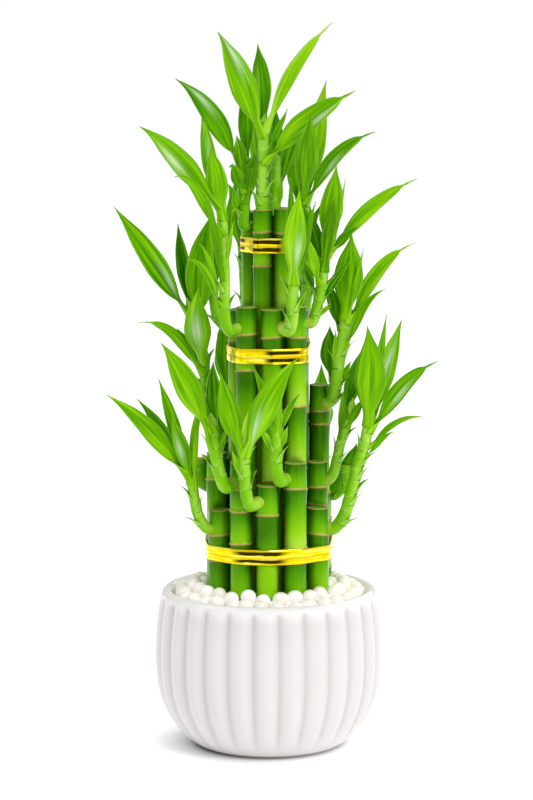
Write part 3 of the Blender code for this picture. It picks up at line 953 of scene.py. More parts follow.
@dataclass
class Cane:
    """One cane, read from its construction node: its place, radius, top and node rings.

    Below its lowest node the skin fades over an internode, which is longer in the low tier, and
    there no further than the palest. Canes within reach paint shade on it: it darkens over the
    shading gap, fully where they touch. Its cut top is dished inside a stained rim.
    """

    name: str
    rings: tuple[float, ...]
    sides: int = 28
    seen_from: float = 60.0
    step: float = 3.0
    around_node: tuple[float, ...] = (-1.6, -0.9, -0.55, -0.3, 0.0, 0.3, 0.6, 1.0, 1.8)
    swell: float = 0.09
    ridge: float = 0.36
    groove: float = 0.2
    tilt: float = 0.55
    oval: float = 0.014
    internode: float = 36.0
    low_internode: float = 38.0
    full_internode: float = 24.0
    reach: float = 17.0
    shade_gap: float = 5.6
    touching: float = 0.3
    darkest: float = 0.8
    palest: float = 0.68
    rim_width: float = 0.6
    rim_depth: float = 0.1
    rim_stain: float = 0.35
    dish_share: float = 0.35
    dish_depth: float = 0.45
    x: float = 0.0
    y: float = 0.0
    radius: float = 5.0
    bottom: float = 14.0
    top: float = 100.0

    def __post_init__(self) -> None:
        """Reads the cane's box."""
        low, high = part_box(self.name)
        self.x = (low.x + high.x) / 2 / MM
        self.y = (low.y + high.y) / 2 / MM
        self.radius = (high.x - low.x) / 2 / MM - 0.05
        self.bottom = low.z / MM
        self.top = high.z / MM
        if self.top < LOW_TIER_TOP:
            self.internode = self.low_internode

    def gap(self, spot: Vector) -> float:
        """How far outside the cane's skin a spot lies."""
        return math.hypot(spot.x - self.x, spot.y - self.y) - self.radius

    def heights(self) -> list[float]:
        """Where the cane is ringed with vertices: finely at the nodes, coarsely between."""
        found = set()
        height = self.seen_from
        while height < self.top - 0.6:
            found.add(round(height, 2))
            height += self.step
        for ring in self.rings:
            found |= {round(ring + away, 2) for away in self.around_node}
        return sorted(h for h in found if self.seen_from - 1.0 < h < self.top - 0.5)

    def build(self, finish: bpy.types.Material, canes: list["Cane"]) -> None:
        """Draws the cane up ring by ring, cuts its top and darkens it where others crowd it.

        Args:
            finish: The cane skin.
            canes: All canes.
        """
        draw = random.Random(self.name)
        bm = bmesh.new()
        layers = {name: number(bm, name) for name in ("fade", "ring", "cut", "rim", "crowd")}
        bmesh.ops.create_circle(bm, cap_ends=True, segments=self.sides, radius=self.radius)
        bmesh.ops.translate(bm, vec=(0, 0, self.bottom), verts=bm.verts)
        edges = list(bm.edges)
        levels = [*self.heights(), self.top - 0.35, self.top]
        for lower, upper in zip([self.bottom, *levels], levels):
            grown = bmesh.ops.extrude_edge_only(bm, edges=edges)["geom"]
            edges = [item for item in grown if isinstance(item, bmesh.types.BMEdge)]
            bmesh.ops.translate(bm, vec=(0, 0, upper - lower),
                                verts=[v for v in grown if isinstance(v, bmesh.types.BMVert)])
        cap = bmesh.ops.contextual_create(bm, geom=edges)["faces"]
        self.skin(bm, layers, draw)
        self.cut(bm, layers, cap)
        bmesh.ops.recalc_face_normals(bm, faces=bm.faces)
        bmesh.ops.translate(bm, vec=(self.x, self.y, 0), verts=bm.verts)
        others = [cane for cane in canes if cane is not self
                  and math.hypot(cane.x - self.x, cane.y - self.y) < self.reach]
        # Painted shade from the canes close by, darkest where they touch.
        for vert in bm.verts:
            gaps = [cane.gap(vert.co) for cane in others if vert.co.z < cane.top + 1.0]
            near = ease(self.shade_gap, self.touching, min(gaps, default=self.shade_gap))
            vert[layers["crowd"]] = self.darkest * near ** 1.2
        publish(self.name + "_skin", bm, finish, [self.name])

    def skin(self, bm: bmesh.types.BMesh, layers: dict, draw: random.Random) -> None:
        """Swells the nodes, raises their rings and notes how far below a node each point lies.

        Args:
            bm: The cane's mesh.
            layers: Its vertex layers by name.
            draw: Where the rings' small differences are drawn from.
        """
        stops = sorted([*self.rings, self.top + 1.0])
        turns = {ring: draw.uniform(0.0, TAU) for ring in self.rings}
        tilts = {ring: self.tilt * draw.uniform(0.3, 1.3) for ring in self.rings}
        for vert in bm.verts:
            height = vert.co.z
            angle = math.atan2(vert.co.y, vert.co.x)
            above = next((stop for stop in stops if stop >= height), stops[-1])
            below = max((stop for stop in stops if stop < height), default=above - self.internode)
            length = above - below
            strength = min(length / self.full_internode, 1.0)
            fade = ease(0.0, 1.0, (above - height) / length) * strength
            buried = self.top < LOW_TIER_TOP and height < min(self.rings)
            vert[layers["fade"]] = min(fade, self.palest) if buried else fade
            radius = self.radius - 0.25
            for ring in self.rings:
                away = height - ring
                radius += self.swell * self.radius * bell(away, 4.0) * 0.6
                radius += self.ridge * bell(away, 0.5) - self.groove * bell(away - 1.1, 0.6)
                vert[layers["ring"]] = max(vert[layers["ring"]], bell(away - 0.05, 0.42))
                vert.co.z += tilts[ring] * math.cos(angle - turns[ring]) * bell(away, 5.0)
            uneven = 1.0 + self.oval * math.cos(2 * angle + turns.get(stops[0], 0.0))
            vert.co.xy = Vector((math.cos(angle), math.sin(angle))) * radius * uneven

    def cut(self, bm: bmesh.types.BMesh, layers: dict, cap: list) -> None:
        """Dishes the cut top inside a thin rim.

        Args:
            bm: The cane's mesh.
            layers: Its vertex layers by name.
            cap: The faces of its top.
        """
        def mark(rim: float) -> None:
            """Notes on the cap's points that they are cut, and how much of the rim they are."""
            for vert in {vert for face in cap for vert in face.verts}:
                vert[layers["rim"]] = rim
                vert[layers["cut"]] = 1.0

        mark(1.0)
        for vert in {vert for face in cap for vert in face.verts}:
            vert[layers["fade"]] = 0.2
        bmesh.ops.inset_region(bm, faces=cap, thickness=self.rim_width, depth=-self.rim_depth)
        mark(self.rim_stain)
        bmesh.ops.inset_region(bm, faces=cap, thickness=self.radius * self.dish_share,
                               depth=-self.dish_depth)
        mark(0.0)
        bmesh.ops.poke(bm, faces=cap)


@dataclass
class FoilBand:
    """A foil band drawn round a tier's canes, with a crease along its middle and small puckers.

    It ties the canes whose names start alike. Painted dark reflections run along it in three
    places, a third of a turn apart: the first is at front, and each reaches a spread to either
    side, both in degrees, and fades out over soft. section is the band's outline, as shares of its
    bulge and of its height.
    """

    name: str
    ties: str
    seed: int
    front: float = -97.0
    spread: float = 20.0
    soft: tuple[float, float] = (5.0, -7.0)
    points: int = 260
    clear: float = 0.35
    bulge: float = 0.22
    puckered: float = 0.6
    wavy: float = 0.05
    directions: int = 90
    section: tuple[tuple[float, float], ...] = (
        (0.0, -0.5), (0.5, -0.49), (0.9, -0.36), (1.0, -0.22), (0.9, -0.08), (0.3, -0.02),
        (0.3, 0.02), (0.9, 0.08), (1.0, 0.22), (0.9, 0.36), (0.5, 0.49), (0.0, 0.5))

    def build(self, finish: bpy.types.Material, canes: list[Cane]) -> None:
        """Wraps the foil and shapes its two puffed halves.

        Args:
            finish: The foil's material.
            canes: All canes, of which it ties some.
        """
        low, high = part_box(self.name)
        height, middle = (high.z - low.z) / MM, (high.z + low.z) / 2 / MM
        tied = [cane for cane in canes if cane.name.startswith(self.ties)]
        centre = Vector((sum(c.x for c in tied) / len(tied), sum(c.y for c in tied) / len(tied)))
        bm = bmesh.new()
        bmesh.ops.create_circle(bm, segments=self.points, radius=1.0)
        rise, dark = number(bm, "rise"), number(bm, "dark")
        for vert in bm.verts:
            turn = math.atan2(vert.co.y, vert.co.x)
            vert.co = self.around(turn, centre, tied)
        first = edges = list(bm.edges)
        rings = [list(bm.verts)]
        for _ in self.section[1:]:
            grown = bmesh.ops.extrude_edge_only(bm, edges=edges)["geom"]
            edges = [item for item in grown if isinstance(item, bmesh.types.BMEdge)]
            rings.append([item for item in grown if isinstance(item, bmesh.types.BMVert)])
        for ring, (out, lift) in zip(rings, self.section):
            for vert in ring:
                away = (vert.co.xy - centre).normalized()
                pucker = noise.noise(Vector((vert.co.x * 0.3, vert.co.y * 0.3,
                                             lift * 3 + self.seed)))
                vert.co.xy += away * self.bulge * out * (1.0 + self.puckered * pucker)
                vert.co.z = middle + height * lift * (1.0 + self.wavy * pucker)
                vert[rise] = lift
                # Where the painted dark reflections lie, a third of a turn apart.
                turn = math.atan2(away.y, away.x)
                third = math.degrees(turn) - self.front + THIRD_TURN / 2
                third = third % THIRD_TURN - THIRD_TURN / 2
                vert[dark] = ease(self.spread + self.soft[0], self.spread + self.soft[1],
                                  abs(third))
        bmesh.ops.bridge_loops(bm, edges=first + edges)
        bmesh.ops.recalc_face_normals(bm, faces=bm.faces)
        publish(self.name + "_foil", bm, finish, [self.name])

    def around(self, angle: float, centre: Vector, tied: list[Cane]) -> Vector:
        """Where a string pulled tight round the canes lies in one direction.

        Args:
            angle: The direction from the middle of the tier.
            centre: The middle of the tier.
            tied: The canes inside the string.

        Returns:
            The point, at height 0.
        """
        ray = Vector((math.cos(angle), math.sin(angle)))
        best = math.inf
        for k in range(self.directions):
            turn = TAU * k / self.directions
            normal = Vector((math.cos(turn), math.sin(turn)))
            facing = normal.dot(ray)
            if facing < 0.2:
                continue
            reach = max((Vector((c.x, c.y)) - centre).dot(normal) + c.radius for c in tied)
            best = min(best, (reach + self.clear) / facing)
        return Vector((*(centre + ray * best), 0.0))


@dataclass(frozen=True)
class Leaf:
    """A blade: its root on the stem (0 foot to 1 tip), tip, width and a point that it bows to.

    light is the leaf's painted light and shade, from 0 for a leaf in shade to 1 for a lit one, and
    roll turns the blade about its length in degrees. The painted highlight is a bright patch: its
    place along the blade, 0 to 1, its place across, -1 to 1, and its size. A necked leaf is pinched
    and turned just short of its point.
    """

    at: float
    tip: Point
    width: float
    via: Point | None = None
    light: float = 0.42
    roll: float = 0.0
    gloss: tuple[float, float, float] | None = None
    necked: bool = False


@dataclass(frozen=True)
class Shoot:
    """A leafy side shoot: the cane it grows from, its stem's route and radii, and its leaves.

    faces is the way that its leaves show their upper sides. Each bract is its root's place along
    the stem and the way it points, in degrees from the right. light is the stem's painted light and
    shade, 0 dark to 1 pale. A pruned shoot is a stub with a flat cut end. part_of is the
    construction node that it belongs to, where that isn't one of its own name.
    """

    name: str
    host: str
    route: tuple[Point, ...]
    radii: tuple[float, float]
    leaves: tuple[Leaf, ...]
    faces: Point = (0.0, -0.9, 0.35)
    bracts: tuple[tuple[float, float], ...] = ((0.3, 165.0), (0.5, 15.0), (0.7, 190.0))
    light: float = 0.45
    pruned: bool = False
    part_of: str = ""


@dataclass
class Stem:
    """A shoot's stem: a bulb at its cane, then overlapping sheaths with slanting edges.

    step, bulb and tapered are shares of the stem's own radius, and slant is one of a sheath's
    length. A stem whose route starts deeper inside its cane than buried has a flat bulb. A
    bract's length is a multiple of the radius at the stem's foot, and its wrap is in radians.
    """

    shoot: Shoot
    host: Cane
    sides: int = 20
    spacing: float = 0.5
    sheath: float = 9.0
    step: float = 0.05
    slant: float = 0.3
    bulb: float = 0.42
    flat_bulb: float = 0.05
    tapered: float = 0.8
    rooted: float = 2.4
    buried: float = -2.0
    scar_at: float = 0.35
    scar_width: float = 0.24
    scar_ridge: float = 0.07
    edge_light: float = 0.42
    banded: float = 0.14
    paler_tip: float = 0.08
    painted_side_shade: float = 0.12
    bract_wrap: float = 1.35
    bract_length: float = 2.9
    bract_thickness: float = 0.22
    route: list[Vector] = field(default_factory=list)
    across: list[Vector] = field(default_factory=list)
    length: float = 0.0

    def __post_init__(self) -> None:
        """Draws the stem's middle line in even steps, with a side direction that never spins."""
        foot = Vector(self.shoot.route[0])
        inward = Vector((self.host.x - foot.x, self.host.y - foot.y, 0.0))
        points = list(self.shoot.route)
        if self.host.gap(foot) > self.buried:
            points.insert(0, foot + inward.normalized() * self.rooted)
        dense = smooth_route(points, 40)
        self.length = sum((b - a).length for a, b in zip(dense, dense[1:]))
        steps = max(int(self.length / self.spacing), 8)
        travelled, self.route = 0.0, [dense[0]]
        for before, after in zip(dense, dense[1:]):
            travelled += (after - before).length
            if travelled >= len(self.route) * self.length / steps - 1e-6:
                self.route.append(after)
        side = (self.route[1] - self.route[0]).orthogonal()
        for before, after in zip(self.route, self.route[1:]):
            ahead = (after - before).normalized()
            side = (side - ahead * side.dot(ahead)).normalized()
            self.across.append(side)
        self.across.append(side)

    def along(self, share: float) -> tuple[Vector, Vector]:
        """The stem's middle line.

        Args:
            share: How far along the stem, 0 foot to 1 tip.

        Returns:
            The line's point and direction there.
        """
        spot = share * (len(self.route) - 1)
        before = min(int(spot), len(self.route) - 2)
        step = self.route[before + 1] - self.route[before]
        return self.route[before] + step * (spot - before), step.normalized()

    def radius(self, share: float) -> float:
        """The stem's radius, without its sheaths.

        Args:
            share: How far along the stem, 0 foot to 1 tip.

        Returns:
            The radius there.
        """
        low, high = self.shoot.radii
        if self.shoot.pruned:
            return low + (high - low) * share
        bulb = self.bulb * bell(share * self.length - self.rooted - 3.2, 3.5)
        if self.host.gap(self.route[0]) < self.buried:
            bulb = self.flat_bulb
        tip = 1.0 - self.tapered * ease(0.9, 1.0, share)
        return (low + (high - low) * share) * (1.0 + bulb) * tip

    def build(self, finish: bpy.types.Material) -> None:
        """Rolls a flat grid into the stem's skin, with its sheaths, its scar and its bracts.

        Args:
            finish: The stem's material.
        """
        draw = random.Random(self.shoot.name)
        bm = bmesh.new()
        bmesh.ops.create_grid(bm, x_segments=self.sides, y_segments=len(self.route), size=1.0)
        fade, edge, scar = (number(bm, name) for name in ("fade", "edge", "scar"))
        phase, turn = draw.uniform(0.0, 1.0), draw.uniform(0.0, TAU)
        for vert in bm.verts:
            angle, share = math.pi * vert.co.x, (vert.co.y + 1) / 2
            spot, ahead = self.along(share)
            side = self.across[round(share * (len(self.route) - 1))]
            side = (side - ahead * side.dot(ahead)).normalized()
            cycles = share * self.length / self.sheath + phase
            slanted = (cycles + self.slant * math.cos(angle - turn - math.pi * cycles)) % 1.0
            mark = bell(self.host.gap(spot) - self.scar_at, self.scar_width)
            mark *= ease(0.4, 0.1, share)
            radius = self.radius(share) * (1.0 - self.step / 2 + self.step * slanted
                                           + self.scar_ridge * mark)
            vert.co = (spot + side * (radius * math.cos(angle))
                       + ahead.cross(side) * (radius * math.sin(angle)))
            vert[edge] = ease(0.9, 0.98, slanted) * self.edge_light * ease(0.1, 0.2, share)
            # The shoot's painted light and shade, sheath banding, a paler tip and painted light and
            # shade round the stem.
            vert[fade] = (self.shoot.light + self.banded * (0.6 - slanted)
                          + self.paler_tip * share
                          + self.painted_side_shade * math.cos(2 * angle + turn + 3 * share))
            vert[scar] = max(mark, ease(0.96, 0.99, share) if self.shoot.pruned else 0.0)
        bmesh.ops.remove_doubles(bm, verts=bm.verts, dist=1e-3)
        bmesh.ops.holes_fill(bm, edges=bm.edges)
        bmesh.ops.recalc_face_normals(bm, faces=bm.faces)
        for at, turn in self.shoot.bracts:
            self.bract(bm, at, math.radians(turn))
        publish(self.shoot.name + "_stem", bm, finish,
                [self.shoot.part_of or self.shoot.name])

    def bract(self, bm: bmesh.types.BMesh, at: float, turn: float) -> None:
        """Adds one small pointed bract that hugs the stem and stands off at its tip.

        Args:
            bm: The stem's mesh.
            at: Where its root is, as a share of the stem.
            turn: Which side of the stem it is on, in radians from the right as seen in front.
        """
        base, ahead = self.along(at)
        right = Vector((1.0, 0.0, 0.0))
        right = (right - ahead * right.dot(ahead)).normalized()
        out = Quaternion(ahead, turn) @ right
        across_stem = ahead.cross(out)
        made = bmesh.ops.create_grid(bm, x_segments=6, y_segments=8, size=1.0)["verts"]
        fade, edge = number(bm, "fade"), number(bm, "edge")
        radius = self.radius(at) * 1.05
        length = self.shoot.radii[0] * self.bract_length
        for vert in made:
            across, t = vert.co.x, (vert.co.y + 1) / 2
            wrap = across * self.bract_wrap * (1 - t) ** 0.9
            away = radius * (1.0 + 0.25 * t + 0.85 * t ** 3)
            vert.co = (base + ahead * (length * t)
                       + out * (away * math.cos(wrap)) + across_stem * (away * math.sin(wrap)))
            vert[fade] = self.shoot.light + 0.05 - 0.1 * t
            vert[edge] = 0.5 * ease(0.7, 1.0, abs(across))
        faces = list({face for vert in made for face in vert.link_faces})
        bmesh.ops.solidify(bm, geom=faces, thickness=self.bract_thickness)


@dataclass
class Blade:
    """One leaf: a root rolled round the stem, a blade widest near its middle, a drawn-out point.

    wrap and trough are how far the root and the blade bend round their middle line to either
    side, in radians. lean and twist are the most that a leaf turns by chance, in degrees, and
    neck_turn is how far a necked one turns at its point, in radians.
    """

    leaf: Leaf
    shoot: Shoot
    stem: Stem
    number: int
    length_cells: int = 40
    width_cells: int = 12
    steps: int = 60
    fine_steps: int = 400
    thickness: float = 0.24
    widest: float = 0.47
    waist: float = 0.3
    neck: float = 0.62
    sheath: float = 5.0
    wrap: float = 1.9
    trough: float = 0.36
    lift: float = 0.25
    bow: float = 0.75
    straight: float = 0.42
    broaden: float = 1.08
    lean: float = 8.0
    twist: float = 16.0
    neck_turn: float = 1.1
    ripple: float = 0.06
    fold: float = 0.1
    draw: random.Random = field(default_factory=random.Random)

    def __post_init__(self) -> None:
        """Seeds the leaf's own small differences and finds its curve."""
        self.draw = random.Random(f"{self.shoot.name} {self.number}")
        foot = max(self.leaf.at - self.sheath / self.stem.length, 0.02)
        start, heading = self.stem.along(foot)
        self.tip = Vector(self.leaf.tip)
        aim = Vector(self.leaf.via) if self.leaf.via else self.tip
        away = aim - start
        away -= heading * away.dot(heading)
        self.out = away.normalized()
        self.hug = self.stem.radius(foot) * 1.06
        reach = (self.tip - start).length
        self.root = start + self.out * self.hug
        self.rise = heading * self.lift * reach
        if self.leaf.via:
            chord = (self.root + self.tip) / 2
            self.middle = chord + 2 * self.bow * (aim - chord)
        else:
            self.middle = self.root + heading * self.straight * reach
        self.line = self.even()

    def curve(self, t: float) -> Vector:
        """The middle line's point at a share of its own run, which isn't even in length."""
        u = 1 - t
        return (u * u * self.root + 2 * u * t * self.middle + t * t * self.tip
                + self.rise * (t * u ** 4))

    def even(self) -> list[Vector]:
        """The middle line's points in even steps."""
        dense = [self.curve(k / self.fine_steps) for k in range(self.fine_steps + 1)]
        length = sum((b - a).length for a, b in zip(dense, dense[1:]))
        travelled, found = 0.0, [dense[0]]
        for before, after in zip(dense, dense[1:]):
            travelled += (after - before).length
            if travelled >= len(found) * length / self.steps - 1e-6:
                found.append(after)
        return found if len(found) > self.steps else [*found, self.tip]

    def spot(self, t: float) -> Vector:
        """The middle line's point at a share of its length."""
        place = t * self.steps
        before = min(int(place), self.steps - 1)
        return self.line[before].lerp(self.line[before + 1], place - before)

    def heading(self, t: float) -> Vector:
        """The middle line's direction at a share of its length."""
        return (self.spot(min(t + 0.02, 1.0)) - self.spot(max(t - 0.02, 0.0))).normalized()

    def half(self, t: float) -> float:
        """Half the blade's width, measured along its skin.

        Args:
            t: How far along the leaf, 0 root to 1 point.

        Returns:
            The half width there.
        """
        if t < self.widest:
            share = self.waist + (1 - self.waist) * ease(0.07, self.widest, t)
        else:
            u = (t - self.widest) / (1 - self.widest)
            share = (1 - u ** 1.65) * (1 - 0.4 * ease(0.45, 1.0, u))
        if self.leaf.necked:
            share *= 1 - self.neck * bell(t - 0.87, 0.035)
        wide = max(self.leaf.width * self.broaden / 2 * share, 0.07)
        rolled = min(self.hug * self.wrap, 0.9 * self.leaf.width)
        return rolled + (wide - rolled) * ease(0.0, 0.2, t)

    def build(self, finish: bpy.types.Material) -> None:
        """Bends a flat grid into the blade and gives it its thickness.

        Args:
            finish: The leaf's material.
        """
        bm = bmesh.new()
        bmesh.ops.create_grid(bm, x_segments=self.width_cells, y_segments=self.length_cells,
                              size=1.0)
        across, along, tint = (number(bm, name) for name in ("across", "along", "tint"))
        under, gloss = number(bm, "under"), number(bm, "gloss")
        face = Vector(self.shoot.faces).normalized()
        if self.out.dot(face) > 0.4:
            face = -face
        lean = math.radians(self.leaf.roll + self.draw.uniform(-self.lean, self.lean))
        twist = math.radians(self.draw.uniform(-self.twist, self.twist))
        wave = self.draw.uniform(0.0, TAU)
        # The leaf's painted light and shade, with a small random tone.
        shade = self.leaf.light + self.draw.uniform(-0.05, 0.05)
        place, where, spread = self.leaf.gloss or (0.0, 0.0, 1.0)
        for vert in bm.verts:
            across_share, t = vert.co.x, (vert.co.y + 1) / 2
            ahead = self.heading(t)
            up = -self.out + (face + self.out) * ease(0.03, 0.34, t)
            up = (up - ahead * up.dot(ahead)).normalized()
            turn = (lean + twist * t) * ease(0.1, 0.4, t)
            if self.leaf.necked:
                turn += self.neck_turn * ease(0.84, 0.93, t)
            up = Quaternion(ahead, turn) @ up
            side = ahead.cross(up)
            bend = self.wrap + (self.trough - self.wrap) * ease(0.02, 0.26, t)
            bow = self.half(t) / bend
            ripple = self.ripple * self.half(t) * math.sin(7.5 * t + wave) * across_share
            ridge = self.fold * self.half(t) * (abs(across_share) - 0.4) * ease(0.1, 0.3, t)
            vert.co = (self.spot(t) + side * (bow * math.sin(across_share * bend))
                       + up * (bow * (1 - math.cos(across_share * bend)) + ripple + ridge))
            vert[across], vert[along], vert[tint] = across_share, t, shade
            # Painted highlight: a bright patch painted onto the blade.
            if self.leaf.gloss:
                vert[gloss] = (bell(t - place, 0.16 * spread)
                               * bell(across_share - where, 0.3 * spread) * 0.75)
        upper = set(bm.verts)
        bmesh.ops.recalc_face_normals(bm, faces=bm.faces)
        bm.normal_update()
        if sum(f.normal.dot(face) for f in bm.faces if f.index % 7 == 3) < 0:
            bmesh.ops.reverse_faces(bm, faces=bm.faces)
        bmesh.ops.solidify(bm, geom=list(bm.faces), thickness=self.thickness)
        for vert in bm.verts:
            vert[under] = 0.0 if vert in upper else 1.0
        publish(f"{self.shoot.name}_leaf_{self.number}", bm, finish)


BACKWARD = (0.0, 0.8, 0.6)

